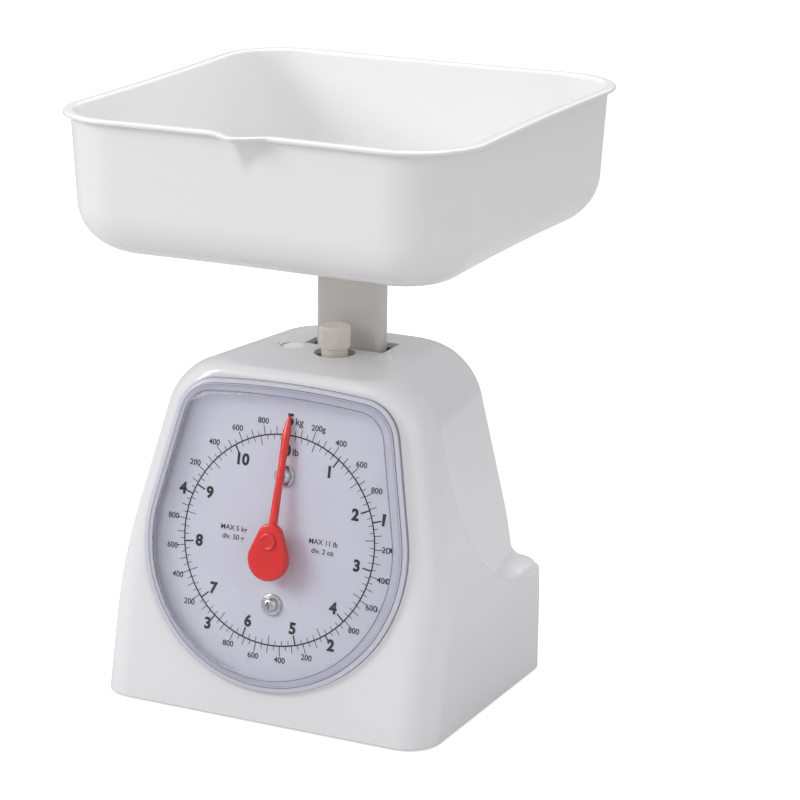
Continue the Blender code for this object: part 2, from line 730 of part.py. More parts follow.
def pointer(finish):
    pose = Matrix.Translation((0, 0, 8.2))
    hub = plate("pointer", egg_outline(), 3.8, pose, finish=finish, parent=SPINDLE)
    join(hub, rod("pointer_boss", (0, 0, 9), (0, 0, 11.4), 4.0, 20, parent=SPINDLE))
    stations = ((4.0, 2.4, 6.8, 9.0), (9.6, 2.3, 6.4, 8.2), (32.0, 2.0, 4.2, 5.8), (46.0, 1.6, 3.0, 4.4))
    stations += ((52.0, 1.3, 1.9, 3.1), (57.0, 0.8, 0.9, 1.9))
    rings = []
    for y, half, low, high in stations:
        rings.append([(-half, y, low), (half, y, low), (half * 0.8, y, high), (-half * 0.8, y, high)])
    join(hub, loft("pointer_arm", rings, parent=SPINDLE))
    cut(hub, rod("pointer_bore", (0, 0, 0), (0, 0, 9.6), SHAFT_RADIUS + 0.2, 12, parent=SPINDLE))
    return hub


def gear_outline(teeth, module):
    """A spur gear outline with 25 degree flanks, cut a little thin for backlash."""
    pitch = teeth * module / 2
    root, tip = pitch - 1.05 * module, pitch + 0.75 * module
    shares = ((root, 0.66), (pitch, 0.44), (tip, 0.16))
    points = []
    for tooth in range(teeth):
        middle = 2 * pi * tooth / teeth
        left = [(radius, middle - share * pi / teeth) for radius, share in shares]
        right = [(radius, middle + share * pi / teeth) for radius, share in shares[::-1]]
        points += [(radius * cos(a), radius * sin(a)) for radius, a in left + right]
    return points


def pointer_drive(steel, brass):
    shaft = [(0, 9.2), (SHAFT_RADIUS, 9.2), (SHAFT_RADIUS, -29.0), (0, -29.0)]
    turned("pointer_shaft", shaft, steps=16, finish=steel, parent=SPINDLE)
    pose = Matrix.Translation((0, 0, RACK_DEPTH)) @ Matrix.Rotation(pi / PINION_TEETH, 4, "Z")
    pinion = plate("pinion", gear_outline(PINION_TEETH, MODULE), 7.0, pose, finish=brass, parent=SPINDLE)
    cut(pinion, rod("pinion_bore", (0, 0, -25), (0, 0, -5), SHAFT_RADIUS + 0.2, 12, parent=SPINDLE))
    bore = SHAFT_RADIUS + GAP
    bush = [(bore, -9.0), (4.2, -9.0), (4.2, -9.7), (3.0, -9.7), (3.0, -12.0), (bore, -12.0), (bore, -9.0)]
    turned("front_bush", bush, steps=16, finish=brass, parent=DIAL)
    bush = [(bore, -22.0), (4.0, -22.0), (4.0, -22.7), (2.6, -22.7), (2.6, -25.4), (bore, -25.4), (bore, -22.0)]
    turned("rear_bush", bush, steps=16, finish=brass, parent=DIAL)


def bearing_bracket(finish, steel):
    """A strap that carries the shaft's rear bush and bridges the rack."""
    low, high = -24.5, -23.0
    foot_high = -11.5 - GAP
    made = box("bearing_bracket", (-14, -6, low), (14, 6, high), finish=finish, parent=DIAL)
    for number, sx in enumerate((-1, 1)):
        xs = sorted((sx * 14.0, sx * 12.5))
        join(made, box(f"bracket_leg_{number}", (xs[0], -5.9, low + 0.1), (xs[1], 5.9, foot_high), parent=DIAL))
        xs = sorted((sx * 12.6, sx * 22.0))
        corner = (xs[0], -5.8, foot_high - SHEET)
        join(made, box(f"bracket_foot_{number}", corner, (xs[1], 5.8, foot_high - 0.05), parent=DIAL))
        x = sx * 18.0
        cut(made, rod(f"bracket_hole_{number}", (x, 0, -20), (x, 0, 0), 1.5, 10, parent=DIAL))
        word = "left" if sx < 0 else "right"
        seat = foot_high - SHEET - GAP
        pan_screw(f"bracket_screw_{word}", (x, 0, seat), 4.6, 1.0, 2.2, steel, DIAL, 1.2)
    cut(made, rod("rear_bush_hole", (0, 0, -30), (0, 0, -20), 2.9, 16, parent=DIAL))
    return made


def rack(finish):
    """Toothed bar to the right of the pinion, with a slotted eye that hangs on the carrier's rod."""
    pitch = pi * MODULE
    root = PITCH_RADIUS + 0.95 * MODULE
    tip = PITCH_RADIUS - 0.75 * MODULE
    back = PITCH_RADIUS + 4.0
    shares = ((root, 0.33), (PITCH_RADIUS, 0.22), (tip, 0.08))
    outline = [(back, RACK_EYE_Y - 4.0), (back, RACK_TOP_Y), (root, RACK_TOP_Y)]
    tooth = int((RACK_TOP_Y - 1) / pitch)
    while tooth * pitch > -4.5:
        middle = tooth * pitch
        outline += [(x, middle + share * pitch) for x, share in shares]
        outline += [(x, middle - share * pitch) for x, share in shares[::-1]]
        tooth -= 1
    outline += [(root, -6.0), (root, RACK_EYE_Y - 4.0)]
    pose = Matrix.Translation((0, 0, RACK_DEPTH))
    made = plate("rack", outline[::-1], RACK_THICKNESS, pose, finish=finish, parent=DIAL)
    travel = FULL_STROKE * sin(LEAN)  # the carrier's rod slides back along the eye by this much
    near, far = RACK_DEPTH + ROD_RADIUS + 0.4, RACK_DEPTH - travel - ROD_RADIUS - 0.4
    low_x, high_x = root + 0.05, back - 0.05
    eye = box(
        "rack_eye",
        (low_x, RACK_EYE_Y - 3.95, far - 1.2),
        (high_x, RACK_EYE_Y + 3.95, near + 1.2),
        parent=DIAL,
    )
    play = ROD_RADIUS + 0.3
    slot = box("rack_slot", (0, RACK_EYE_Y - play, far), (20, RACK_EYE_Y + play, near), parent=DIAL)
    return cut(join(made, eye), slot)


# ---------------------------------------------------------------- weighing linkage

def arm(name, carrier_z, finish, pivot):
    """A bent U of sheet: two legs from the frame's pin to the carrier's, joined by a web."""
    rise = PIVOT_DROP
    length = hypot(ARM_REACH, rise)
    start = arc(0, 0, 4.5, pi / 2, 3 * pi / 2, 6)
    end = arc(length, 0, 4.5, -pi / 2, pi / 2, 6)
    tilt = Matrix.Rotation(atan2(rise, ARM_REACH), 4, "X")
    made = None
    for sx in (-1, 1):
        x = sx * (ARM_X + SHEET / 2)
        pose = tilt @ upright(x)
        if made is None:
            made = plate(name, start + end, SHEET, pose, finish=finish, parent=pivot)
        else:
            join(made, plate(name + "_leg", start + end, SHEET, pose, parent=pivot))
    web = box(name + "_web", (-ARM_X - 1, 6.5, -4.4), (ARM_X + 1, 12.5, -4.4 + SHEET), parent=pivot)
    web.rotation_euler = (atan2(rise, ARM_REACH), 0, 0)
    join(made, web)
    cut(made, rod(name + "_bore", (-40, 0, 0), (40, 0, 0), PIN_RADIUS + GAP, 16, parent=pivot))
    far = (ARM_REACH, rise)
    cut(made, rod(name + "_open_bore", (-40, *far), (40, *far), PIN_RADIUS + 1.35, 16, parent=pivot))
    return made


def arms(finish):
    for tag, z in (("upper", UPPER_PIVOT_Z), ("lower", LOWER_PIVOT_Z)):
        pivot = empty(f"{tag}_arm_pivot", (0, FRAME_PIVOT_Y, z - PIVOT_DROP))
        arm(f"{tag}_arm", z, finish, pivot)


def carrier(finish):
    """Folded steel carrier: back plate, pivot ears and a tongue that reaches under the pinion."""
    back_low = POST_FRONT + POST_DEPTH + GAP
    back_high = back_low + SHEET
    ear = EAR_X + SHEET
    made = box("carrier", (-ear, back_low, 35), (ear, back_high, 135), finish=finish)
    for tag, z in (("upper", UPPER_PIVOT_Z), ("lower", LOWER_PIVOT_Z)):
        for number, sx in enumerate((-1, 1)):
            xs = sorted((sx * EAR_X, sx * (ear - 0.05)))
            low = (xs[0], CARRIER_PIVOT_Y - 4.5, z - 6.5)
            join(made, box(f"{tag}_ear_{number}", low, (xs[1], back_high - 0.1, z + 6.5)))
        y = CARRIER_PIVOT_Y
        cut(made, rod(f"{tag}_carrier_bore", (-40, y, z), (40, y, z), PIN_RADIUS + GAP, 16))
    rod_y, rod_z = rack_rod_centre()
    tongue_end = rod_y - 2.6
    join(made, box("tongue", (-13, tongue_end, TONGUE_Z), (13, back_low + 0.5, TONGUE_Z + SHEET)))
    for number, x in enumerate((-0.6, 9.4)):
        low = (x, tongue_end + 0.05, TONGUE_Z + 0.2)
        join(made, box(f"rod_ear_{number}", low, (x + 1.5, rod_y + 2.8, rod_z + 2.4)))
    notch = box("rack_notch", (1.8, tongue_end - 5, TONGUE_Z - 5), (8.8, -23, rod_z + 10))
    cut(made, notch)
    cut(made, rod("rod_bore", (-5, rod_y, rod_z), (15, rod_y, rod_z), ROD_RADIUS + 0.2, 12))
    for number, x in enumerate((-SPRING_X, SPRING_X)):
        cut(made, rod(f"spring_hole_{number}", (x, KNOB_Y, 50), (x, KNOB_Y, 70), SPRING_WIRE + 0.6, 12))
    cut(made, rod("post_screw_hole", (0, 25, POST_SCREW_Z), (0, 40, POST_SCREW_Z), 1.4, 10))
    return made


def rack_rod_centre():
    """(Y, Z) of the rod that carries the rack, where the rack's line crosses it at rest."""
    y = DIAL_CENTRE.y + RACK_EYE_Y * sin(LEAN) - RACK_DEPTH * cos(LEAN)
    z = DIAL_CENTRE.z + RACK_EYE_Y * cos(LEAN) + RACK_DEPTH * sin(LEAN)
    return y, z


def post(finish):
    top = TRAY_BOTTOM - GAP
    radii = [3.0] * 4
    rear = POST_FRONT + POST_DEPTH
    rings = []
    for z in (POST_BOTTOM, top - 1.0, top):
        draw = 0.8 if z == top else 0.0
        half = POST_HALF_WIDTH - draw
        rings.append(at_height(rounded_box(-half, half, POST_FRONT + draw, rear - draw, radii, 3), z))
    made = loft("post", rings, finish=finish)
    y, z = CARRIER_PIVOT_Y, UPPER_PIVOT_Z
    cut(made, rod("post_cross_bore", (-40, y, z), (40, y, z), PIN_RADIUS + GAP, 16))
    cut(made, rod("post_pilot", (0, 24.5, POST_SCREW_Z), (0, 40, POST_SCREW_Z), 1.4, 10))
    return made


def platform_hardware(steel):
    reach = ARM_X + SHEET + 1.4
    y = CARRIER_PIVOT_Y
    for tag, z in (("upper", UPPER_PIVOT_Z), ("lower", LOWER_PIVOT_Z)):
        rod(f"{tag}_carrier_pin", (-reach, y, z), (reach, y, z), PIN_RADIUS, 16, finish=steel)
    rod_y, rod_z = rack_rod_centre()
    rod("rack_rod", (-1.6, rod_y, rod_z), (12.0, rod_y, rod_z), ROD_RADIUS, 12, finish=steel)
    back = POST_FRONT + POST_DEPTH + SHEET + 2 * GAP
    turn = empty("post_screw_axis", (0, back, POST_SCREW_Z), (pi / 2, 0, 0))
    pan_screw("post_screw", (0, 0, 0), 7.0, 1.1, 2.8, steel, turn)


# ---------------------------------------------------------------- zero adjuster and main spring

def zero_adjuster(knob_finish, steel, zinc):
    axis = empty("zero_axis", (0, KNOB_Y, 0))
    seat = BRIDGE_Z + SHEET + GAP
    knurl_low = KNOB_TOP - 10.0
    bore = SCREW_RADIUS + 0.2
    profile = [(0, KNOB_TOP), (KNOB_RADIUS - 0.8, KNOB_TOP), (KNOB_RADIUS, KNOB_TOP - 0.8)]
    profile += [(KNOB_RADIUS, knurl_low), (NECK_RADIUS, knurl_low), (NECK_RADIUS, seat)]
    profile += [(bore, seat), (bore, KNOB_TOP - 6.0), (0, KNOB_TOP - 6.0)]
    turned("zero_knob", profile, steps=28, finish=knob_finish, parent=axis)
    screw_top = KNOB_TOP - 6.3
    screw = [(0, screw_top), (SCREW_RADIUS, screw_top), (SCREW_RADIUS, 109.0), (0, 108.0)]
    turned("zero_screw", screw, steps=16, finish=steel, parent=axis)
    clip_top = BRIDGE_Z - GAP
    clip = [(bore, clip_top), (5.0, clip_top), (5.0, clip_top - 1.2), (bore, clip_top - 1.2), (bore, clip_top)]
    turned("zero_clip", clip, steps=16, finish=zinc, parent=axis)
    low = (-14, KNOB_Y - 4.5, HANGER_Z)
    hanger = box("spring_hanger", low, (14, KNOB_Y + 4.5, HANGER_Z + HANGER_THICKNESS), finish=zinc)
    cut(hanger, rod("hanger_thread", (0, KNOB_Y, 100), (0, KNOB_Y, 130), bore, 16))
    for number, x in enumerate((-SPRING_X, SPRING_X)):
        eye = rod(f"hanger_eye_{number}", (x, KNOB_Y, 100), (x, KNOB_Y, 130), SPRING_WIRE + 0.6, 12)
        cut(hanger, eye)


def main_spring(name, x, finish):
    """Extension spring: both ends pass through a hole on the coil's axis and are turned over."""
    per_turn = 9
    clear = SPRING_WIRE + GAP
    top = HANGER_Z + HANGER_THICKNESS + clear
    bottom = TONGUE_Z - clear
    coil_top, coil_bottom = HANGER_Z - 7.0, TONGUE_Z + 8.5
    steps = per_turn * SPRING_TURNS
    coil = []
    for i in range(steps + 1):
        a = 2 * pi * i / per_turn
        z = coil_top + (coil_bottom - coil_top) * i / steps
        coil.append((x + SPRING_RADIUS * cos(a), KNOB_Y + SPRING_RADIUS * sin(a), z))
    lead_in = [(x, KNOB_Y + 3.4, top), (x, KNOB_Y, top), (x, KNOB_Y, coil_top + 2.6)]
    lead_out = [(x, KNOB_Y, coil_bottom - 2.6), (x, KNOB_Y, bottom), (x, KNOB_Y + 3.4, bottom)]
    return wire(name, lead_in + coil + lead_out, SPRING_WIRE, finish=finish)


# ---------------------------------------------------------------- tray

def tray_outline(inset, corner):
    """A rounded square whose sides are drawn in towards their middles."""
    half_x = TRAY_HALF_X / (1 - TRAY_BOW) - inset
    half_y = TRAY_HALF_Y / (1 - TRAY_BOW) - inset
    points = []
    for x, y in with_middles(rounded_box(-half_x, half_x, -half_y, half_y, [corner] * 4, 6)):
        draw_x = 1 - TRAY_BOW * (1 - (y / half_y) ** 2)
        draw_y = 1 - TRAY_BOW * (1 - (x / half_x) ** 2)
        points.append((x * draw_x, TRAY_Y + y * draw_y))
    return points


def with_middles(outline):
    """Adds three points along each long straight stretch of an outline."""
    points = []
    for (x0, y0), (x1, y1) in zip(outline, outline[1:] + outline[:1]):
        points.append((x0, y0))
        if hypot(x1 - x0, y1 - y0) > 40:
            points += [(x0 + (x1 - x0) * t, y0 + (y1 - y0) * t) for t in (0.25, 0.5, 0.75)]
    return points


def tray_ring(z, inset, corner):
    return at_height(tray_outline(inset, corner), z)


def tray_wall(inset, bottom, radius):
    """Rings from the bottom up, or read backwards from the rim down: rounded foot and drafted wall."""
    rings = []
    for degrees in (0, 22, 44, 66, 90):
        a = radians(degrees)
        z = bottom + radius * (1 - cos(a))
        draw = inset + radius * (1 - sin(a)) + TRAY_DRAFT * (TRAY_TOP - z)
        rings.append(tray_ring(z, draw, TRAY_CORNER - inset - 0.75 * radius * (1 - sin(a))))
    return rings


def tray(finish):
    flange = 2.1
    outer = tray_wall(RIM_LIP, TRAY_BOTTOM, TRAY_ROUND)
    under = TRAY_TOP - flange
    rim = [
        tray_ring(under, RIM_LIP + TRAY_DRAFT * flange, TRAY_CORNER - RIM_LIP),
        tray_ring(under, 0.4, TRAY_CORNER - 0.4),
        tray_ring(under + 0.5, 0.0, TRAY_CORNER),
        tray_ring(TRAY_TOP - 0.7, 0.0, TRAY_CORNER),
        tray_ring(TRAY_TOP, 0.8, TRAY_CORNER - 0.8),
        tray_ring(TRAY_TOP, RIM_LIP + TRAY_WALL - 0.6, TRAY_CORNER - RIM_LIP - TRAY_WALL + 0.6),
        tray_ring(TRAY_TOP - 0.7, RIM_LIP + TRAY_WALL, TRAY_CORNER - RIM_LIP - TRAY_WALL),
    ]
    inner = tray_wall(RIM_LIP + TRAY_WALL, TRAY_BOTTOM + TRAY_FLOOR, TRAY_ROUND - 1.0)[::-1]
    made = loft("tray", outer + rim + inner, finish=finish, smooth=True)
    front = TRAY_Y - TRAY_HALF_Y
    top = TRAY_TOP - 0.2
    wall = front + RIM_LIP + 0.8
    tip = front - SPOUT_REACH
    beak = []
    for z in (top, top - 1.8):
        beak += [(x, front + 0.6, z) for x in (-SPOUT_HALF, SPOUT_HALF)]
        beak += [(x, tip + 0.5, z) for x in (-2.0, 2.0)]
        beak += [(x, tip, z) for x in (-0.8, 0.8)]
    beak += [(x, wall, top) for x in (-SPOUT_HALF + 0.5, SPOUT_HALF - 0.5)]
    beak += [(x, wall, top - SPOUT_DEPTH) for x in (-0.8, 0.8)]
    join(made, hull("beak", beak))
    edge = 2.0
    channel = [(x, front + edge, TRAY_TOP + 1) for x in (-SPOUT_HALF + 3.2, SPOUT_HALF - 3.2)]
    channel += [(x, tip + edge, TRAY_TOP + 1) for x in (-0.8, 0.8)]
    channel += [(x, tip + edge, top - 1.0) for x in (-0.8, 0.8)]
    channel += [(x, wall + 4.0, TRAY_TOP + 1) for x in (-SPOUT_HALF + 2.4, SPOUT_HALF - 2.4)]
    channel += [(x, wall + 4.0, top - SPOUT_DEPTH + 2.6) for x in (-0.8, 0.8)]
    return cut(made, hull("beak_channel", channel))


def main():
    white = material("housing_white", (0.83, 0.83, 0.84), 0.32)
    tray_white = material("tray_white", (0.86, 0.86, 0.87), 0.18)
    beige = material("post_beige", (0.62, 0.6, 0.55), 0.4)
    ivory = material("knob_ivory", (0.83, 0.78, 0.62), 0.4)
    grey = material("base_grey", (0.35, 0.35, 0.36), 0.6)
    rubber = material("foot_rubber", (0.03, 0.03, 0.03), 0.85)
    clear = material("lens_clear", (0.95, 0.96, 0.98), 0.06, 0.0, 1.0)
    face = material("dial_face", (0.52, 0.5, 0.62), 0.45)
    red = material("pointer_red", (0.6, 0.03, 0.03), 0.4)
    zinc = material("zinc_steel", (0.62, 0.63, 0.65), 0.3, 1.0)
    sheet = material("sheet_steel", (0.5, 0.51, 0.53), 0.42, 1.0)
    spring = material("spring_steel", (0.35, 0.35, 0.37), 0.35, 1.0)
    brass = material("brass", (0.72, 0.55, 0.25), 0.3, 1.0)
    housing(white)
    base_hardware(rubber, zinc, grey)
    frame(sheet)
    frame_pins(zinc)
    dial_plate(face)
    dial_fasteners(zinc, brass)
    lens(clear)
    pointer(red)
    pointer_drive(zinc, brass)
    bearing_bracket(sheet, zinc)
    rack(brass)
    arms(sheet)
    carrier(sheet)
    post(beige)
    platform_hardware(zinc)
    zero_adjuster(ivory, zinc, sheet)
    main_spring("main_spring_left", -SPRING_X, spring)
    main_spring("main_spring_right", SPRING_X, spring)
    tray(tray_white)


clear_scene()
PARTS = collection("dial_platform_scale")
CUTTERS = collection("cutters")
SCALE = bpy.data.objects.new("scale_origin", None)
tray_rear = max(y for x, y in tray_outline(0.0, TRAY_CORNER))
lip_front = TRAY_Y - TRAY_HALF_Y - SPOUT_REACH
SCALE.location.y = -MM * (tray_rear + lip_front) / 2
bpy.context.scene.collection.objects.link(SCALE)
DIAL = empty("dial_axis", DIAL_CENTRE, (pi / 2 - LEAN, 0, 0))
SPINDLE = empty("pointer_axis", (0, 0, 0), parent=DIAL)
main()
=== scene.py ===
"""Looks for a mechanical dial platform scale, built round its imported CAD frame.

Lengths are millimetres here; make() turns each finished piece into metres.
The dial's own frame has X to the right, Y up the dial and Z out of it.
"""

import json
from math import acos, asin, atan, cos, hypot, inf, pi, radians, sin, sqrt, tan

import bmesh
import bpy
from mathutils import Matrix, Vector


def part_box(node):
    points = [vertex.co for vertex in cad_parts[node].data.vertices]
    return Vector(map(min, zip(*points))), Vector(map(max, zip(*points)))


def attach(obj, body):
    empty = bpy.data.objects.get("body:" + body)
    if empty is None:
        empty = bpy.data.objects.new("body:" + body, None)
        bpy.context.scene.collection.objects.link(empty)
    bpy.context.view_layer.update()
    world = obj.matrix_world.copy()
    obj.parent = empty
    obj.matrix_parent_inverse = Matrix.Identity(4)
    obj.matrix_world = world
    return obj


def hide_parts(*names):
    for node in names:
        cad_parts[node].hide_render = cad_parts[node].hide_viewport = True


MM = 0.001
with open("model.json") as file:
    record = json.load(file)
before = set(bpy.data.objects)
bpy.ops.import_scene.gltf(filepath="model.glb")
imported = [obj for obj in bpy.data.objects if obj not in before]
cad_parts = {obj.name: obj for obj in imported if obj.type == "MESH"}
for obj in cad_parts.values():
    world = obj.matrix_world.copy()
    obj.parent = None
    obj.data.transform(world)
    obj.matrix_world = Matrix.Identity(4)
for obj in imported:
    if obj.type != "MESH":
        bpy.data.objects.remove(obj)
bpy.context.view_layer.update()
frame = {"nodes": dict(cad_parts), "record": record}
NODES = frame["nodes"]
JOINTS = {joint["name"]: joint for joint in frame["record"]["behaviour"]["joints"]}


def corners(node):
    low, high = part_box(node)
    return Vector(low) / MM, Vector(high) / MM


# ---------------------------------------------------------------- places and sizes from the frame

OUT = -Vector(JOINTS["pointer_spin"]["axis"]).normalized()
RIGHT = Vector((1, 0, 0))
UP = OUT.cross(RIGHT)
LEAN = asin(OUT.z)
DIAL_CENTRE = Vector(JOINTS["pointer_spin"]["pos_m"]) / MM
DIAL = Matrix.Translation(DIAL_CENTRE) @ Matrix((RIGHT, UP, OUT)).transposed().to_4x4()

SHELL_LOW, SHELL_HIGH = corners("housing")
HALF_WIDTH = SHELL_HIGH.x
TOP = SHELL_HIGH.z
BOTTOM = SHELL_LOW.z
WALL = 2.5

# The housing is laid out from the middle of its base; BASE moves it to its place in the frame.
DEPTH = SHELL_HIGH.y - SHELL_LOW.y + BOTTOM * tan(LEAN)
REAR = DEPTH / 2
FRONT_AT_GROUND = -DEPTH / 2
BASE_Y = SHELL_HIGH.y - REAR
BASE = Matrix.Translation((0, BASE_Y, 0))

CURVE_START = 35.0
CURVE_END = 85.0
SIDE_LEAN = 0.22
SIDE_BEND = SIDE_LEAN / (2 * (CURVE_END - CURVE_START))
FRONT_CORNER = 16.0
REAR_CORNER = 12.0
TOP_ROUND_SIDE = 22.0
TOP_ROUND_FRONT = 4.5
TOP_ROUND_REAR = 5.0
TOWER_REAR = 55.5
TOWER_REAR_LEAN = 0.09
TOWER_CORNER = 16.0
TOWER_TURN = atan(0.158)
CREASE_Y = -19.5
CREASE_TOP = 114.0
CREASE_REACH = 64.5
CREASE_FALL = 64.0
CREASE_POWER = 1.9
FOOT_FILLET = 10.0
LEDGE_SLOPE = radians(14.0)
LEDGE_EDGE = 3.0

DIMPLE_X = 22.8
DIMPLE_Y = 10.0
DIMPLE_RADIUS = 5.6
DIMPLE_DEPTH = 0.75
DIMPLE_TILT = radians(8.0)
SLOT_HALF_WIDTH = 20.0
SLOT_FRONT = 17.3
SLOT_REAR = 35.5
KNOB_HOLE_RADIUS = 9.5
BOSS_RADIUS = 4.6
BOSS_BORE = 1.5
BOSS_TOP = 30.0
BOSS_FOOT = 2.3  # above the base plate's underside
NICK_HALF_LENGTH = 1.6
NICK_HALF_WIDTH = 0.22
NICK_DEPTH = 0.5

LENS_ARC_RADIUS = 66.7
LENS_ARC_Y = -2.5
LENS_SIDE_LEAN = radians(12.0)
LENS_TOP = 71.5
LENS_TOP_SLOPE = 0.044
LENS_CORNER = 20.0
LENS_OPENING_INSET = 3.0

SCALE_RADIUS = 48.0
POUNDS_PER_TURN = 5.0 / 0.45359237

KNOB_LOW, KNOB_HIGH = corners("zero_knob")
KNOB_Y = JOINTS["zero_turn"]["pos_m"][1] / MM
POST_LOW, POST_HIGH = corners("post")
TRAY_LOW, TRAY_HIGH = corners("tray")


# ---------------------------------------------------------------- mesh helpers

def make(name, bm, finish, body, pose=None, smooth=35.0):
    """A visible piece from a bmesh in millimetres, riding on a body."""
    if pose:
        bm.transform(pose)
    bmesh.ops.recalc_face_normals(bm, faces=bm.faces)
    bmesh.ops.scale(bm, vec=(MM, MM, MM), verts=bm.verts)
    mesh = bpy.data.meshes.new(name)
    bm.to_mesh(mesh)
    bm.free()
    mesh.shade_smooth()
    mesh.set_sharp_from_angle(angle=radians(smooth))
    if finish:
        mesh.materials.append(finish)
    made = bpy.data.objects.new(name, mesh)
    bpy.context.scene.collection.objects.link(made)
    if body:
        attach(made, body)
    return made


def tool(bm, pose=None):
    return make("tool", bm, None, None, pose)


def base_tool(bm, pose=Matrix()):
    return tool(bm, BASE @ pose)


def carve(made, operation, *tools, smooth=35.0):
    """Applies one Boolean for each tool, then deletes the tools."""
    for item in tools:
        modifier = made.modifiers.new("carve", "BOOLEAN")
        modifier.operation = operation
        modifier.object = item
        modifier.solver = "EXACT"
    graph = bpy.context.evaluated_depsgraph_get()
    result = bpy.data.meshes.new_from_object(made.evaluated_get(graph))
    made.modifiers.clear()
    while len(result.materials) > 1:
        result.materials.pop()
    made.data = result
    for item in tools:
        bpy.data.objects.remove(item, do_unlink=True)
    bm = bmesh.new()
    bm.from_mesh(result)
    bmesh.ops.remove_doubles(bm, verts=bm.verts, dist=0.000002)
    bmesh.ops.dissolve_degenerate(bm, edges=bm.edges, dist=0.000002)
    bm.to_mesh(result)
    bm.free()
    result.shade_smooth()
    result.set_sharp_from_angle(angle=radians(smooth))
    return made


def even_shading(made):
    """Large faces decide the shading, so that a long flat panel next to a round stays flat."""
    modifier = made.modifiers.new("even_shading", "WEIGHTED_NORMAL")
    modifier.keep_sharp = True
    modifier.weight = 80
    return made


def strip(rows, caps=True, closed_rows=False):
    """A skin over closed rows of equally many points; closed_rows joins the last row to the first."""
    bm = bmesh.new()
    grid = [[bm.verts.new(point) for point in row] for row in rows]
    count = len(grid[0])
    pairs = list(zip(grid, grid[1:]))
    if closed_rows:
        pairs.append((grid[-1], grid[0]))
    for low, high in pairs:
        for i in range(count):
            j = (i + 1) % count
            bm.faces.new((low[i], low[j], high[j], high[i]))
    if caps:
        bm.faces.new(grid[0][::-1])
        bm.faces.new(grid[-1])
    return bm


def arc(cx, cy, radius, start, end, segments):
    step = (end - start) / segments
    angles = [start + step * i for i in range(segments + 1)]
    return [(cx + radius * cos(a), cy + radius * sin(a)) for a in angles]


def at_height(outline, z):
    return [(x, y, z) for x, y in outline]


def circle(radius, z, segments, centre=(0, 0)):
    return at_height(arc(*centre, radius, 0, 2 * pi * (1 - 1 / segments), segments - 1), z)


def turned(profile, segments=64, centre=(0, 0)):
    """A turned solid through (radius, height) points, closed at both ends or into a ring."""
    ring = profile[0] == profile[-1]
    rows = [circle(radius, z, segments, centre) for radius, z in (profile[:-1] if ring else profile)]
    return strip(rows, caps=not ring, closed_rows=ring)


def block(low, high, pose=None):
    low, high = Vector(low), Vector(high)
    bm = bmesh.new()
    shape = Matrix.Translation((low + high) / 2) @ Matrix.Diagonal((*(high - low), 1))
    bmesh.ops.create_cube(bm, size=1, matrix=shape)
    if pose:
        bm.transform(pose)
    return bm


def merge(parts):
    """Several bmeshes as one."""
    whole = bmesh.new()
    for part in parts:
        mesh = bpy.data.meshes.new("part")
        part.to_mesh(mesh)
        part.free()
        whole.from_mesh(mesh)
        bpy.data.meshes.remove(mesh)
    return whole


def rounded_box(x_low, x_high, y_low, y_high, radii, segments=10):
    """Anticlockwise outline; radii for the corners front right, rear right, rear left, front left."""
    places = ((x_high, y_low, -1, 1), (x_high, y_high, -1, -1), (x_low, y_high, 1, -1), (x_low, y_low, 1, 1))
    points = []
    for number, ((x, y, sx, sy), radius) in enumerate(zip(places, radii)):
        start = -pi / 2 + number * pi / 2
        points += arc(x + sx * radius, y + sy * radius, radius, start, start + pi / 2, segments)
    return points


# ---------------------------------------------------------------- materials

class Shader:
    """A Principled material whose nodes are wired with short calls."""

    def __init__(self, name):
        self.material = bpy.data.materials.new(name)
        self.material.use_nodes = True
        self.tree = self.material.node_tree
        self.surface = self.tree.nodes["Principled BSDF"]
        self.place = self.node("ShaderNodeTexCoord").outputs["Object"]

    def node(self, kind, **settings):
        made = self.tree.nodes.new(kind)
        for key, value in settings.items():
            setattr(made, key, value)
        return made

    def link(self, source, target):
        self.tree.links.new(source, target)

    def set(self, name, value):
        self.surface.inputs[name].default_value = value

    def drive(self, name, source):
        self.link(source, self.surface.inputs[name])

    def noise(self, scale, detail=3.0, stretch=(1, 1, 1)):
        mapping = self.node("ShaderNodeMapping")
        mapping.inputs["Scale"].default_value = stretch
        self.link(self.place, mapping.inputs["Vector"])
        made = self.node("ShaderNodeTexNoise")
        made.inputs["Scale"].default_value = scale
        made.inputs["Detail"].default_value = detail
        made.inputs["Roughness"].default_value = 0.55
        self.link(mapping.outputs["Vector"], made.inputs["Vector"])
        return made.outputs["Fac"]

    def ramp(self, source, stops):
        made = self.node("ShaderNodeValToRGB")
        elements = made.color_ramp.elements
        while len(elements) < len(stops):
            elements.new(0.5)
        for element, (place, colour) in zip(elements, stops):
            element.position = place
            element.color = (*colour, 1.0) if isinstance(colour, tuple) else (colour, colour, colour, 1.0)
        self.link(source, made.inputs["Fac"])
        return made.outputs["Color"]

    def pass_shadows(self, passed):
        """Light that would only cast a shadow goes through the given transparent node instead."""
        path = self.node("ShaderNodeLightPath")
        mix = self.node("ShaderNodeMixShader")
        self.link(path.outputs["Is Shadow Ray"], mix.inputs[0])
        self.link(self.surface.outputs["BSDF"], mix.inputs[1])
        self.link(passed.outputs["BSDF"], mix.inputs[2])
        self.link(mix.outputs["Shader"], self.tree.nodes["Material Output"].inputs["Surface"])

    def soft_edges(self, radius):
        made = self.node("ShaderNodeBevel", samples=4)
        made.inputs["Radius"].default_value = radius * MM
        return made.outputs["Normal"]

    def bump(self, height, depth, strength=1.0, normal=None):
        made = self.node("ShaderNodeBump")
        made.inputs["Distance"].default_value = depth * MM
        made.inputs["Strength"].default_value = strength
        self.link(height, made.inputs["Height"])
        if normal:
            self.link(normal, made.inputs["Normal"])
        return made.outputs["Normal"]


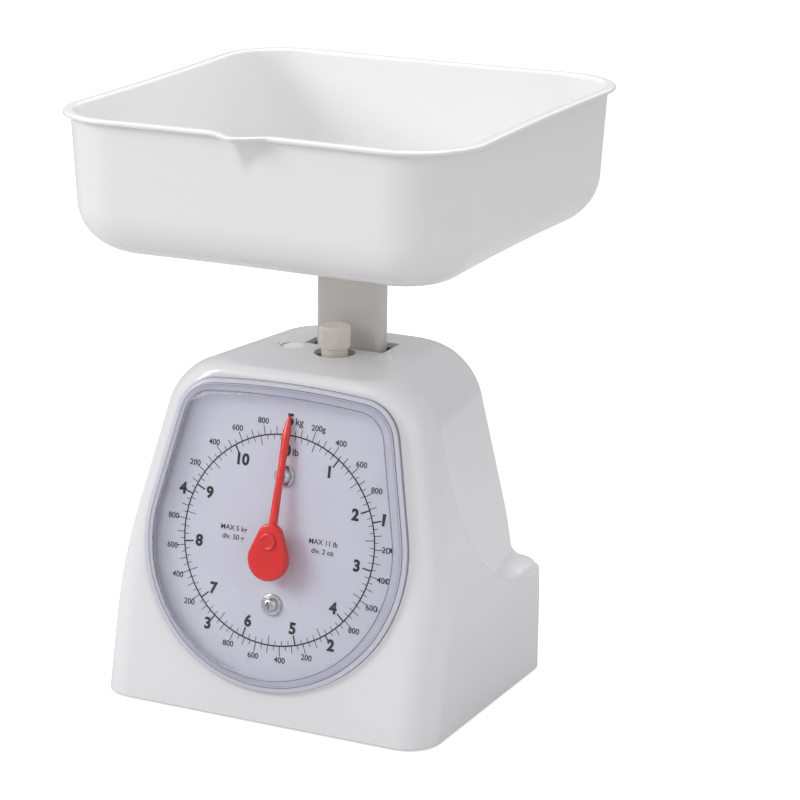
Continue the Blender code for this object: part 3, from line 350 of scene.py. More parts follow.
def plastic(name, colour, roughness=0.3, grain=0.01, edge=0.0, spread=0.02, coat=0.0, through=0.0):
    """Moulded plastic: faint flow marks in its colour, uneven gloss and a very fine orange peel."""
    made = Shader(name)
    flow = made.noise(6.0, 0.0, (1, 1, 0.35))
    dark = tuple(c * (1 - spread) for c in colour)
    light = tuple(min(1.0, c * (1 + spread)) for c in colour)
    made.drive("Base Color", made.ramp(flow, ((0.3, dark), (0.7, light))))
    gloss = made.noise(9.0, 0.0)
    made.drive("Roughness", made.ramp(gloss, ((0.3, roughness * 0.93), (0.75, roughness * 1.08))))
    normal = made.soft_edges(edge) if edge else None
    peel = made.bump(made.noise(900.0, 2.0), grain, 0.35, normal)
    ripple = made.bump(made.noise(35.0, 1.0), grain * 3, 0.25, peel)
    made.drive("Normal", ripple)
    made.set("IOR", 1.49)
    made.set("Coat Weight", coat)
    made.set("Coat Roughness", 0.08)
    made.set("Subsurface Weight", through)
    made.set("Subsurface Radius", (0.004, 0.0035, 0.003))
    return made


def metal(name, colour, roughness, grain_stretch=(1, 1, 1)):
    """Plated or brushed metal: fine drawn grain, cloudy gloss and slightly worn edges."""
    made = Shader(name)
    cloud = made.noise(180.0, 5.0)
    dark = tuple(c * 0.82 for c in colour)
    made.drive("Base Color", made.ramp(cloud, ((0.3, dark), (0.7, colour))))
    drawn = made.noise(700.0, 4.0, grain_stretch)
    made.drive("Roughness", made.ramp(drawn, ((0.3, roughness * 0.7), (0.7, roughness * 1.4))))
    made.drive("Normal", made.bump(drawn, 0.02, 0.4, made.soft_edges(0.15)))
    made.set("Metallic", 1.0)
    return made


def clear_plastic(name, colour=(0.97, 0.975, 0.99), through=1.0, haze=0.0, shade=(0.96, 0.86, 0.12)):
    """Clear moulding. shade is how much light its shadow keeps: seen flat on, aslant and edge on."""
    made = Shader(name)
    made.set("Base Color", (*colour, 1.0))
    made.set("Transmission Weight", through)
    made.set("IOR", 1.3)
    smear = made.noise(45.0, 4.0)
    made.drive("Roughness", made.ramp(smear, ((0.35, haze), (0.8, haze + 0.012))))
    made.drive("Normal", made.bump(made.noise(28.0, 1.0), 0.02, 0.3))
    passed = made.node("ShaderNodeBsdfTransparent")
    edge_dark = made.node("ShaderNodeLayerWeight")
    edge_dark.inputs["Blend"].default_value = 0.35
    tint = made.ramp(edge_dark.outputs["Facing"], tuple(zip((0.0, 0.55, 1.0), shade)))
    made.link(tint, passed.inputs["Color"])
    made.pass_shadows(passed)
    return made


def printed_face():
    """The dial's printed sheet: lilac grey with a faint screen grain."""
    made = Shader("dial_print_ground")
    grain = made.noise(1500.0, 2.0)
    lilac = ((0.3, (0.585, 0.58, 0.67)), (0.7, (0.625, 0.62, 0.71)))
    made.drive("Base Color", made.ramp(grain, lilac))
    made.drive("Roughness", made.ramp(made.noise(90.0), ((0.3, 0.42), (0.7, 0.52))))
    made.drive("Normal", made.bump(grain, 0.004, 0.3))
    return made


def ink():
    made = Shader("black_ink")
    edge = made.noise(2500.0, 3.0)
    made.drive("Base Color", made.ramp(edge, ((0.3, 0.004), (0.8, 0.02))))
    made.drive("Roughness", made.ramp(edge, ((0.3, 0.35), (0.8, 0.55))))
    return made


def rubber():
    made = Shader("foot_rubber")
    cloud = made.noise(220.0, 6.0)
    made.drive("Base Color", made.ramp(cloud, ((0.3, 0.018), (0.8, 0.05))))
    made.drive("Roughness", made.ramp(cloud, ((0.3, 0.75), (0.8, 0.92))))
    made.drive("Normal", made.bump(cloud, 0.05, 0.5, made.soft_edges(0.4)))
    return made


def red_plastic():
    """Translucent red moulding: its shadow on the dial is tinted."""
    made = plastic("pointer_red", (0.72, 0.014, 0.011), 0.25, 0.01, 0.25, 0.04, 0.3, 0.05)
    shade = made.node("ShaderNodeBsdfTransparent")
    shade.inputs["Color"].default_value = (0.62, 0.3, 0.34, 1.0)
    made.pass_shadows(shade)
    return made


WHITE = plastic("housing_white", (0.81, 0.81, 0.825), 0.24, 0.008, 0.6, 0.006, 0.4).material
TRAY_WHITE = plastic("tray_white", (0.84, 0.838, 0.84), 0.16, 0.005, 0.5, 0.006, 0.4).material
BEIGE = plastic("post_beige", (0.69, 0.66, 0.63), 0.34, 0.015, 0.4, 0.02).material
IVORY = plastic("knob_ivory", (0.87, 0.81, 0.735), 0.36, 0.02, 0.15, 0.03, 0.0, 0.1).material
GREY = plastic("base_grey", (0.3, 0.3, 0.31), 0.5, 0.04, 0.4, 0.08).material
RED = red_plastic().material
CLEAR = clear_plastic("clear_moulding").material
DIM = (0.55, 0.45, 0.12)  # the border of the clear cover shades the dial's edge
CLEAR_BAND = clear_plastic("clear_moulding_band", (0.74, 0.73, 0.84), 0.6, 0.12, DIM).material
# Painted shade: the clear cover's foot and step rows are coloured dark to stand in for the shade at its foot
# and steps.
CLEAR_STEP_SHADE = clear_plastic("clear_moulding_step_painted_shade", (0.26, 0.25, 0.33), 0.4, 0.15, DIM).material
CLEAR_EDGE = clear_plastic("clear_moulding_edge", (0.70, 0.69, 0.78), 0.25, 0.1, DIM).material
FACE = printed_face().material
INK = ink().material
RUBBER = rubber().material
ZINC = metal("zinc_plate", (0.70, 0.71, 0.73), 0.22).material
SHEET = metal("pressed_sheet", (0.48, 0.49, 0.51), 0.36, (1, 1, 9)).material
SPRING = metal("spring_wire", (0.30, 0.30, 0.32), 0.32, (6, 6, 1)).material
BRASS = metal("turned_brass", (0.66, 0.48, 0.20), 0.26, (1, 1, 6)).material


# ---------------------------------------------------------------- housing

def side_x(z):
    """Half width of the housing's side at a height, before its top edge is rounded."""
    if z <= CURVE_START:
        return HALF_WIDTH
    if z <= CURVE_END:
        return HALF_WIDTH - SIDE_BEND * (z - CURVE_START) ** 2
    return HALF_WIDTH - SIDE_BEND * (CURVE_END - CURVE_START) ** 2 - SIDE_LEAN * (z - CURVE_END)


def side_slope(z):
    return min(max(2 * SIDE_BEND * (z - CURVE_START), 0.0), SIDE_LEAN)


def round_over(z, radius, top):
    """How far a rounding of this radius has drawn the wall in at a height."""
    rise = z - (top - radius)
    return 0.0 if rise <= 0 else radius - sqrt(max(radius * radius - rise * rise, 0.0))


def upper_heights(top):
    """Heights from the straight wall up over the rounded edge, finer towards the top."""
    straight = [95.0, 105.0, 114.0, 122.0, 128.0]
    turn = {round(top - TOP_ROUND_SIDE * (1 - sin(radians(a))), 3) for a in range(0, 90, 6)}
    turn |= {round(top - TOP_ROUND_REAR * (1 - sin(radians(a))), 3) for a in range(0, 90, 12)}
    return straight + sorted(turn) + [top]


def housing_body(inset, low):
    """The housing's front, sides, rear and top, drawn in by inset on every face."""
    top = TOP - inset
    heights = [low, 18.0] + [CURVE_START + 5.0 * i for i in range(11)] + upper_heights(top)
    rows = []
    for z in heights:
        half = side_x(z) - inset - round_over(z, TOP_ROUND_SIDE - inset, top)
        front = FRONT_AT_GROUND + z * tan(LEAN) + inset / cos(LEAN)
        front += round_over(z, TOP_ROUND_FRONT, top)
        radii = [corner - inset for corner in (FRONT_CORNER, REAR_CORNER, REAR_CORNER, FRONT_CORNER)]
        rows.append(at_height(rounded_box(-half, half, front, REAR - inset, radii), z))
    return strip(rows)


def crease_height(y):
    """Height of the crease on the side: upright at the front, level towards the rear."""
    if y <= CREASE_Y:
        return CREASE_TOP + 0.3 * (CREASE_Y - y)
    share = max(1 - (y - CREASE_Y) / CREASE_REACH, 0.0)
    return CREASE_TOP - CREASE_FALL * (1 - share**CREASE_POWER) ** (1 / CREASE_POWER)


def tower_plan(z, inset):
    """(half width at the crease, corner centre x, corner centre y, rear y) of the tower at a height."""
    top = TOP - inset
    level = min(z, top)
    side = side_x(level) - inset - round_over(level, TOP_ROUND_SIDE - inset, top)
    rear = TOWER_REAR + TOWER_REAR_LEAN * (top - level) - inset
    rear -= round_over(level, TOP_ROUND_REAR, top)
    radius = TOWER_CORNER - inset
    corner_y = rear - radius
    corner_x = side - tan(TOWER_TURN) * (corner_y - CREASE_Y) - radius / cos(TOWER_TURN)
    return side, corner_x, corner_y, rear


def side_end(inset):
    """Where the tower's side meets its rear corner, at the ledge's height."""
    radius = TOWER_CORNER - inset
    return tower_plan(CREASE_TOP - CREASE_FALL, inset)[2] + radius * sin(TOWER_TURN)


def tower_point(column, z, inset):
    """(point, outward direction in plan) on the tower's wall, for one column of its skin."""
    kind, share = column
    side, corner_x, corner_y, rear = tower_plan(z, inset)
    radius = TOWER_CORNER - inset
    if kind == "side":
        end = corner_y + radius * sin(TOWER_TURN)
        y = share if share <= 0 else share * end / side_end(inset)
        turn = TOWER_TURN * min(max(share / side_end(inset), 0.0), 1.0)
        return Vector((side - tan(TOWER_TURN) * (y - CREASE_Y), y, z)), Vector((cos(turn), sin(turn), 0))
    if kind == "corner":
        out = Vector((cos(share), sin(share), 0))
        return Vector((corner_x, corner_y, z)) + radius * out, out
    return Vector((corner_x * share, rear, z)), Vector((0, 1, 0))


def scoop_columns(inset):
    columns = [("side", y) for y in (CREASE_Y - 7, CREASE_Y - 3)]
    steps = 34
    for i in range(steps + 1):
        a = (pi / 2) * i / steps
        y = CREASE_Y + CREASE_REACH * (1 - cos(a) ** (2 / CREASE_POWER))
        if y < side_end(inset) - 0.5:
            columns.append(("side", y))
    turns = 14
    columns += [("corner", TOWER_TURN + (pi / 2 - TOWER_TURN) * i / turns) for i in range(turns + 1)]
    return columns + [("rear", share) for share in (0.66, 0.33)]


def edge_distance(point, out, inset):
    """Distance from a point of the tower's foot straight outward to the base's outline."""
    half, rear, radius = side_x(point.z) - inset, REAR - inset, REAR_CORNER - inset
    across = (half - point.x) / out.x if out.x > 0 else inf
    back = (rear - point.y) / out.y if out.y > 0 else inf
    reach = min(across, back)
    hit = point + out * reach
    if hit.x > half - radius and hit.y > rear - radius:
        offset = Vector((point.x - half + radius, point.y - rear + radius, 0))
        along = offset.dot(out)
        reach = sqrt(along * along - offset.length_squared + radius * radius) - along
    return max(reach, 0.3)


def scoop_column(column, inset):
    """Points from above the housing down the tower's wall, round its foot and out over the ledge."""
    kind, share = column
    fillet = FOOT_FILLET + inset
    y = share if kind == "side" else CREASE_Y + CREASE_REACH
    edge = crease_height(y) - inset
    point, out = tower_point(column, edge, inset)
    start = atan(side_slope(edge) * out.x)
    reach = edge_distance(point, out, inset)
    brow = min(LEDGE_EDGE * min(max((y - 22) / 25, 0.02), 1.0), 0.6 * reach)
    shoulder = reach - brow
    high = edge + 1.2 * brow
    bend = pi / 2 - LEDGE_SLOPE
    flat = shoulder - fillet * (cos(start) - cos(bend))
    if flat > 0:
        low = high - fillet * (1 - sin(bend)) + tan(LEDGE_SLOPE) * flat
    else:
        bend = acos(cos(start) - shoulder / fillet)
        low = high - fillet * (1 - sin(bend))
    foot = low + fillet * (1 - sin(start))
    above = TOP + 20.0
    split = CREASE_TOP + 9
    heights = [above] + [z for z in upper_heights(TOP - inset)[::-1] if z >= split + 1]
    rows = 14
    heights += [split + (foot - split) * i / rows for i in range(rows)]
    points = [tower_point(column, z, inset)[0] for z in heights]
    base = tower_point(column, foot, inset)[0]
    turns = 9
    for i in range(turns + 1):
        a = start + (bend - start) * i / turns
        away = base + out * fillet * (cos(start) - cos(a))
        points.append(Vector((away.x, away.y, low + fillet * (1 - sin(a)))))
    lip = [(shoulder + 0.02, high - 0.01)]
    for turn in (20, 40, 60, 80):
        lip.append((shoulder + brow * sin(radians(turn)), edge + 1.2 * brow * cos(radians(turn))))
    for distance, z in lip + [(reach, edge)]:
        away = base + out * distance
        points.append(Vector((away.x, away.y, z)))
    far = base + out * (reach + 60)
    return points + [Vector((far.x, far.y, edge)), Vector((far.x, far.y, above))]


def scoop(inset):
    """The space behind the crease and outside the tower, as a closed tool."""
    half = [scoop_column(column, inset) for column in scoop_columns(inset)]
    middle = scoop_column(("rear", 0.0), inset)
    mirrored = [[Vector((-p.x, p.y, p.z)) for p in column] for column in half[::-1]]
    return strip(half + [middle] + mirrored)


def lens_outline(inset=0.0, segments=48):
    """A round foot, leaning sides, rounded shoulders and a slightly bowed top, in the dial's frame."""
    radius = LENS_ARC_RADIUS - inset
    lean = LENS_SIDE_LEAN
    top = LENS_TOP - inset
    start_x = radius * cos(lean)
    start_y = LENS_ARC_Y + radius * sin(lean)
    slope = tan(lean)
    corner_x = (start_x - (top - start_y) * slope) / (1 - LENS_TOP_SLOPE * slope)
    corner_y = top - LENS_TOP_SLOPE * corner_x
    fillet = max(LENS_CORNER - inset, 3.0)
    turn = pi / 2 - lean - atan(LENS_TOP_SLOPE)
    back = fillet * tan(turn / 2)
    centre_x = corner_x + back * sin(lean) - fillet * cos(lean)
    centre_y = corner_y - back * cos(lean) - fillet * sin(lean)
    shoulder = arc(centre_x, centre_y, fillet, lean, lean + turn, 14)
    end_x, end_y = shoulder[-1]
    bow = [(end_x * (1 - t), end_y + (top - end_y) * (1 - (1 - t) ** 2)) for t in (0.25, 0.5, 0.75, 1.0)]
    right = shoulder + bow
    left = [(-x, y) for x, y in right[::-1]]
    return arc(0, LENS_ARC_Y, radius, -pi - lean, lean, segments) + right + left[1:]


def dimple(x):
    """A round dish cut at a slant: deepest at its front edge, running out at its rear one."""
    slant = Matrix.Rotation(DIMPLE_TILT, 4, "X")
    place = Matrix.Translation((x, DIMPLE_Y, TOP - DIMPLE_DEPTH))
    return base_tool(turned([(DIMPLE_RADIUS, 0.0), (DIMPLE_RADIUS, 8.0)], 48), place @ slant)


def nick(x, y, angle):
    """A short narrow cut in the housing's top, at a point of the base's plan."""
    pose = Matrix.Translation((x, y, TOP)) @ Matrix.Rotation(angle, 4, "Z")
    far = Vector((NICK_HALF_LENGTH, NICK_HALF_WIDTH, 1.0))
    return base_tool(block((-far.x, -far.y, -NICK_DEPTH), far), pose)


def base_bosses():
    """Tubes that take the base plate's screws, placed by the screws' nodes."""
    bosses = []
    low = corners("base_plate")[0].z + BOSS_FOOT
    profile = [(BOSS_BORE, low), (BOSS_RADIUS, low), (BOSS_RADIUS, BOSS_TOP), (BOSS_BORE, BOSS_TOP)]
    for node in [name for name in NODES if name.startswith("base_screw")]:
        middle = sum(corners(node), Vector()) / 2
        bosses.append(tool(turned(profile + profile[:1], 32), Matrix.Translation((middle.x, middle.y, 0))))
    return bosses


def housing():
    shell = make("housing_shell", housing_body(0.0, BOTTOM), WHITE, "base", BASE)
    carve(shell, "DIFFERENCE", base_tool(scoop(0.0)))
    cavity = base_tool(housing_body(WALL, BOTTOM - 10))
    carve(cavity, "DIFFERENCE", base_tool(scoop(WALL)))
    carve(shell, "DIFFERENCE", cavity)
    carve(shell, "UNION", *base_bosses())
    opening = tool(strip([at_height(lens_outline(LENS_OPENING_INSET), z) for z in (-4.0, 16.0)]), DIAL)
    low, high = TOP - 12, TOP + 10
    slot = base_tool(block((-SLOT_HALF_WIDTH, SLOT_FRONT, low), (SLOT_HALF_WIDTH, SLOT_REAR, high)))
    hole = turned([(KNOB_HOLE_RADIUS, low), (KNOB_HOLE_RADIUS, high)], 64)
    knob_hole = tool(hole, Matrix.Translation((0, KNOB_Y, 0)))
    nicks = [nick(-30.2, 10.8, radians(-50)), nick(-30.4, 8.7, radians(35))]
    tools = [opening, slot, knob_hole, dimple(-DIMPLE_X), dimple(DIMPLE_X)]
    carve(shell, "DIFFERENCE", *tools, *nicks, smooth=32)
    even_shading(shell)
    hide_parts("housing")


# ---------------------------------------------------------------- lens

# The look of each row of the lens's skin, from its outer foot inwards, where it isn't plainly clear. STEP
# rows get painted shade, dark lines for the shade at the foot and steps.
BAND, STEP, EDGE = 1, 2, 3
LENS_LOOKS = {0: STEP, 1: STEP, 3: EDGE, 4: STEP, 5: EDGE, 6: BAND, 7: STEP}


def lens():
    """Flange on the housing, a bead, a sloping border and a gently domed face."""
    rim = [(0.0, 3.3), (0.0, 4.5), (0.15, 4.85), (0.5, 5.1), (2.3, 5.3), (2.7, 5.5), (3.0, 5.95)]
    rim += [(5.7, 8.0), (6.1, 8.4), (6.6, 8.7)]
    border, dome_rise, wall = 6.6, 5.2, 1.6
    edge = lens_outline(border)
    rows = [at_height(lens_outline(inset), height) for inset, height in rim]
    dome = []
    for share in (0.97, 0.92, 0.84, 0.74, 0.62, 0.48, 0.34, 0.2, 0.08):
        height = rim[-1][1] + dome_rise * (1 - share**2)
        dome.append(([(x * share, y * share) for x, y in edge], height))
    rows += [at_height(outline, height) for outline, height in dome]
    under = [at_height(outline, height - wall) for outline, height in dome[::-1]]
    inner = [(border, 7.1), (6.1, 6.7), (4.2, 4.9), (4.2, 1.2), (3.4, 1.2), (3.4, 3.3)]
    under += [at_height(lens_outline(inset), height) for inset, height in inner]
    skin = rows + under
    bm = strip(skin, caps=False, closed_rows=True)
    count = len(edge)
    crown = len(rows) * count
    vertices = list(bm.verts)
    outer_cap, inner_cap = vertices[crown - count : crown], vertices[crown : crown + count]
    joining = [face for face in bm.faces if set(face.verts) <= set(outer_cap + inner_cap)]
    bmesh.ops.delete(bm, geom=joining, context="FACES")
    bm.faces.ensure_lookup_table()
    for row, look in LENS_LOOKS.items():
        for face in bm.faces[row * count : (row + 1) * count]:
            face.material_index = look
    bm.faces.new(outer_cap)
    bm.faces.new(inner_cap[::-1])
    made = make("lens_moulding", bm, CLEAR, "base", DIAL, 28)
    for finish in (CLEAR_BAND, CLEAR_STEP_SHADE, CLEAR_EDGE):
        made.data.materials.append(finish)
    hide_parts("lens")


# ---------------------------------------------------------------- dial

def around(fraction, radius):
    """Point on the dial at a clockwise share of a turn from the top."""
    return radius * sin(2 * pi * fraction), radius * cos(2 * pi * fraction)


def tick(fraction, inner, outer, width):
    pose = Matrix.Rotation(-2 * pi * fraction, 4, "Z")
    return block((-width / 2, inner, 0.03), (width / 2, outer, 0.07), pose)


def kilogram_ticks():
    """A hundred divisions of 50 g outside the circle."""
    marks = []
    for i in range(100):
        length, width = (4.6, 0.36) if i % 4 == 0 else (3.6, 0.34) if i % 2 == 0 else (2.1, 0.3)
        if i % 20 == 0:
            length, width = 4.4, 0.66
        marks.append(tick(i / 100, SCALE_RADIUS, SCALE_RADIUS + length, width))
    return marks


def pound_ticks():
    """Eighths of a pound inside the circle."""
    marks = []
    for i in range(int(8 * POUNDS_PER_TURN) + 1):
        length, width = (4.4, 0.34) if i % 4 == 0 else (2.3, 0.3)
        if i % 8 == 0:
            length, width = 4.6, 0.68
        marks.append(tick(i / 8 / POUNDS_PER_TURN, SCALE_RADIUS - length, SCALE_RADIUS, width))
    return marks


def scale_circle():
    ring = [(SCALE_RADIUS - 0.32, 0.08), (SCALE_RADIUS + 0.32, 0.08)]
    ring += [(SCALE_RADIUS + 0.32, 0.03), (SCALE_RADIUS - 0.32, 0.03)]
    return turned(ring + ring[:1], 200)


def lettering(text, x, y, height, bold):
    """Text with its middle at a point of the dial, as a thin printed layer."""
    curve = bpy.data.curves.new("figures", "FONT")
    curve.body = text
    curve.align_x = "CENTER"
    curve.align_y = "CENTER"
    curve.size = height / 0.70
    curve.extrude = 0.02
    curve.offset = bold
    curve.resolution_u = 4
    made = bpy.data.objects.new("figures", curve)
    bpy.context.scene.collection.objects.link(made)
    graph = bpy.context.evaluated_depsgraph_get()
    mesh = bpy.data.meshes.new_from_object(made.evaluated_get(graph))
    bm = bmesh.new()
    bm.from_mesh(mesh)
    bmesh.ops.remove_doubles(bm, verts=bm.verts, dist=0.0001)
    bm.transform(Matrix.Translation((x, y, 0.05)))
    bpy.data.objects.remove(made, do_unlink=True)
    bpy.data.curves.remove(curve)
    bpy.data.meshes.remove(mesh)
    return bm


def figures():
    parts = []
    outside, inside = 54.5, 40.5
    for kilo in range(1, 5):
        x, y = around(kilo / 5, outside - 1.0)
        parts.append(lettering(str(kilo), x, y, 5.0, 0.32))
    for i in range(25):
        if i % 5 == 0:
            continue
        x, y = around(i / 25, outside)
        label = str(i % 5 * 200)
        parts.append(lettering(label + "g" if i == 1 else label, x + (0.8 if i == 1 else 0), y, 2.6, 0.06))
    for pound in range(1, 11):
        x, y = around(pound / POUNDS_PER_TURN, inside)
        parts.append(lettering(str(pound), x, y, 5.0, 0.32))
    parts.append(lettering("5", 0.0, outside + 0.3, 5.0, 0.32))
    parts.append(lettering("kg", 4.6, outside - 0.2, 3.2, 0.08))
    parts.append(lettering("0", -0.1, inside + 0.3, 5.0, 0.32))
    parts.append(lettering("lb", 4.2, inside, 3.2, 0.06))
    for x, capacity, division in ((-23.0, "MAX 5 kg", "div. 50 g"), (22.5, "MAX 11 lb", "div. 2 oz")):
        parts.append(lettering(capacity, x, 2.2, 2.3, 0.05))
        parts.append(lettering(division, x, -1.9, 2.3, 0.05))
    return merge(parts)


def dial():
    marks = make("dial_marks", merge(kilogram_ticks() + pound_ticks() + [scale_circle()]), INK, "base", DIAL)
    numbers = make("dial_figures", figures(), INK, "base", DIAL)


def cross_recess(top, pose):
    """A cross-head recess: two crossed wedges that narrow with depth."""
    tools = []
    for angle in (0, pi / 2):
        rows = []
        for length, width, z in ((1.0, 0.3, top - 1.5), (2.1, 0.5, top + 0.4)):
            rows.append([(-length, -width, z), (length, -width, z), (length, width, z), (-length, width, z)])
        tools.append(tool(strip(rows), pose @ Matrix.Rotation(angle + radians(20), 4, "Z")))
    return tools


def dial_fasteners():
    for word in ("top", "bottom"):
        low, high = corners(f"dial_washer_{word}")
        local = DIAL.inverted() @ ((low + high) / 2)
        pose = DIAL @ Matrix.Translation((local.x, local.y, 0))
        washer = [(1.9, 0.35), (4.6, 0.35), (4.95, 0.5), (5.0, 0.75), (4.85, 1.05), (4.5, 1.2), (2.2, 1.2)]
        washer += [(1.9, 1.05), (1.9, 0.35)]
        ring = make(f"dial_washer_{word}_plated", turned(washer), ZINC, "base", pose, 50)
        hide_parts(f"dial_washer_{word}")
        head = [(0.01, 3.8), (0.9, 3.75), (1.8, 3.6), (2.6, 3.25), (3.15, 2.7), (3.42, 2.1), (3.5, 1.6)]
        head += [(3.4, 1.45), (1.2, 1.45), (1.2, -13.4), (0.7, -14.4), (0.01, -14.5)]
        screw = make(f"dial_screw_{word}_cross", turned(head), ZINC, "base", pose, 50)
        carve(screw, "DIFFERENCE", *cross_recess(3.8, pose), smooth=40)
        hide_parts(f"dial_screw_{word}")


# ---------------------------------------------------------------- pointer

def egg_outline(inset=0.0):
    """The hub: a round foot joined by straight flanks to a smaller round head."""
    foot_y, foot_radius = -8.0, 9.9 - inset
    head_y, head_radius = 2.3, 6.0 - inset
    lean = asin((foot_radius - head_radius) / (head_y - foot_y))
    low = arc(0, foot_y, foot_radius, -pi - lean, lean, 36)
    return low + arc(0, head_y, head_radius, lean, pi - lean, 20)


def pointer():
    """Egg-shaped hub with a round boss, and an arm that runs down towards the dial to a sharp tip."""
    crown = [(0.35, 6.3), (0.0, 6.6), (0.0, 9.0), (0.1, 9.4), (0.4, 9.75), (0.9, 9.95), (1.8, 10.05)]
    crown += [(4.5, 10.1)]
    rows = [at_height(egg_outline(inset), z) for inset, z in crown]
    hub = make("pointer_moulding", strip(rows), RED, "pointer", DIAL, 40)
    boss = [(4.1, 8.0), (4.05, 9.9), (3.95, 10.9), (3.7, 11.2), (3.3, 11.35), (2.9, 11.3), (2.6, 11.0)]
    boss += [(0.01, 10.9)]
    stations = ((3.0, 2.5, 6.8, 9.2), (9.6, 2.35, 6.3, 8.3), (20.0, 2.15, 5.3, 7.1), (31.5, 2.0, 4.2, 5.8))
    stations += ((33.0, 2.05, 4.0, 5.5), (46.0, 2.25, 2.8, 4.2), (49.0, 2.2, 2.3, 3.7), (53.0, 1.6, 1.5, 2.8))
    stations += ((56.0, 0.9, 1.0, 2.0), (57.0, 0.35, 0.9, 1.5))
    sections = []
    for y, broad, low, high in stations:
        half = 0.85 * broad
        ridge = [(half, low), (half, low + 0.45 * (high - low)), (half * 0.82, low + 0.8 * (high - low))]
        ridge += [(half * 0.4, high - 0.04 * (high - low)), (0.0, high)]
        section = ridge + [(-x, z) for x, z in ridge[-2::-1]]
        sections.append([(x, y, z) for x, z in section])
    arm = tool(strip(sections), DIAL)
    carve(hub, "UNION", arm, tool(turned(boss), DIAL), smooth=40)
    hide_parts("pointer")


# ---------------------------------------------------------------- knob and post

def knurled_ring(radius, depth, z, teeth):
    """A ring of points with rounded ribs; depth 0 gives a plain circle of the same count."""
    per_tooth = 4
    count = teeth * per_tooth
    points = []
    for i in range(count):
        a = 2 * pi * i / count
        rib = radius - depth * 0.5 * (1 - cos(a * teeth))
        points.append((rib * cos(a), KNOB_Y + rib * sin(a), z))
    return points


def zero_knob():
    teeth = 56
    top = KNOB_HIGH.z
    radius = KNOB_HIGH.x
    seat = KNOB_LOW.z
    profile = [(2.7, 0, seat), (6.0, 0, seat), (6.2, 0, seat + 0.3), (6.2, 0, top - 10.4)]
    profile += [(6.6, 0, top - 10.1)]
    profile += [(radius - 0.25, 0.0, top - 10.0), (radius, 0.32, top - 9.6), (radius, 0.4, top - 9.0)]
    profile += [(radius, 0.4, top - 1.6), (radius, 0.3, top - 0.9), (radius - 0.3, 0.1, top - 0.4)]
    profile += [(radius - 0.9, 0, top - 0.08), (radius - 1.6, 0, top), (radius - 2.3, 0, top - 0.25)]
    profile += [(radius - 2.9, 0, top - 0.5), (2.0, 0, top - 0.55), (0.5, 0, top - 0.55)]
    rows = [knurled_ring(r, depth, z, teeth) for r, depth, z in profile]
    knob = make("zero_knob_knurled", strip(rows), IVORY, "zero_knob", None, 50)
    centre = (0, KNOB_Y)
    carve(knob, "DIFFERENCE", tool(turned([(2.6, seat - 5), (2.6, top - 6.0)], 48, centre)), smooth=50)
    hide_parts("zero_knob")


def post():
    radius = 2.6
    low, high = POST_LOW, POST_HIGH
    rows = []
    ends = ((0.6, low.z), (0.0, low.z + 0.6), (0.0, high.z - 1.0), (0.3, high.z - 0.3), (0.8, high.z))
    for draw, z in ends:
        outline = rounded_box(low.x + draw, high.x - draw, low.y + draw, high.y - draw, [radius] * 4, 8)
        rows.append(at_height(outline, z))
    made = make("post_moulding", strip(rows), BEIGE, "platform", None, 40)
    pin_low, pin_high = corners("upper_carrier_pin")
    middle = (pin_low + pin_high) / 2
    across = Matrix.Translation((0, middle.y, middle.z)) @ Matrix.Rotation(pi / 2, 4, "Y")
    pilot_low, pilot_high = corners("post_screw")
    screw = (pilot_low + pilot_high) / 2
    along = Matrix.Translation((screw.x, high.y, screw.z)) @ Matrix.Rotation(pi / 2, 4, "X")
    cross_bore = tool(turned([(1.8, -30), (1.8, 30)], 32), across)
    pilot = tool(turned([(1.4, -5), (1.4, 6.6)], 32), along)
    carve(made, "DIFFERENCE", cross_bore, pilot, smooth=40)
    even_shading(made)
    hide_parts("post")


# ---------------------------------------------------------------- tray

TRAY_HALF_X = 99.5
TRAY_HALF_Y = 100.5
TRAY_BOW = 0.0295
TRAY_TOP = TRAY_HIGH.z
TRAY_BOTTOM = TRAY_LOW.z
TRAY_CORNER = 37.0
TRAY_DRAFT = 0.044
TRAY_ROUND = 22.0
TRAY_FLOOR = 2.2
TRAY_WALL = 2.0
RIM_LIP = 3.5
SIDE_PIECES = 10
SPOUT_HALF = 14.5
SPOUT_DROP = 15.6
SPOUT_REACH = 9.0
TRAY_Y = TRAY_LOW.y + SPOUT_REACH + TRAY_HALF_Y


def spout_push(x, z, sharp):
    """How far the front wall is pushed out by the V-shaped pouring lip."""
    opening = SPOUT_HALF * min(max((z - TRAY_TOP + SPOUT_DROP) / SPOUT_DROP, 0.0), 1.0)
    reach = (SPOUT_REACH + sharp * 0.62) / SPOUT_HALF
    away = opening - sqrt(x * x + sharp * sharp)
    return reach * 0.5 * (away + sqrt(away * away + 0.5))


def with_middles(outline):
    """Adds evenly spaced points along each long straight stretch of an outline."""
    points = []
    for (x0, y0), (x1, y1) in zip(outline, outline[1:] + outline[:1]):
        points.append((x0, y0))
        if hypot(x1 - x0, y1 - y0) > 40:
            shares = [i / SIDE_PIECES for i in range(1, SIDE_PIECES)]
            points += [(x0 + (x1 - x0) * t, y0 + (y1 - y0) * t) for t in shares]
    return points


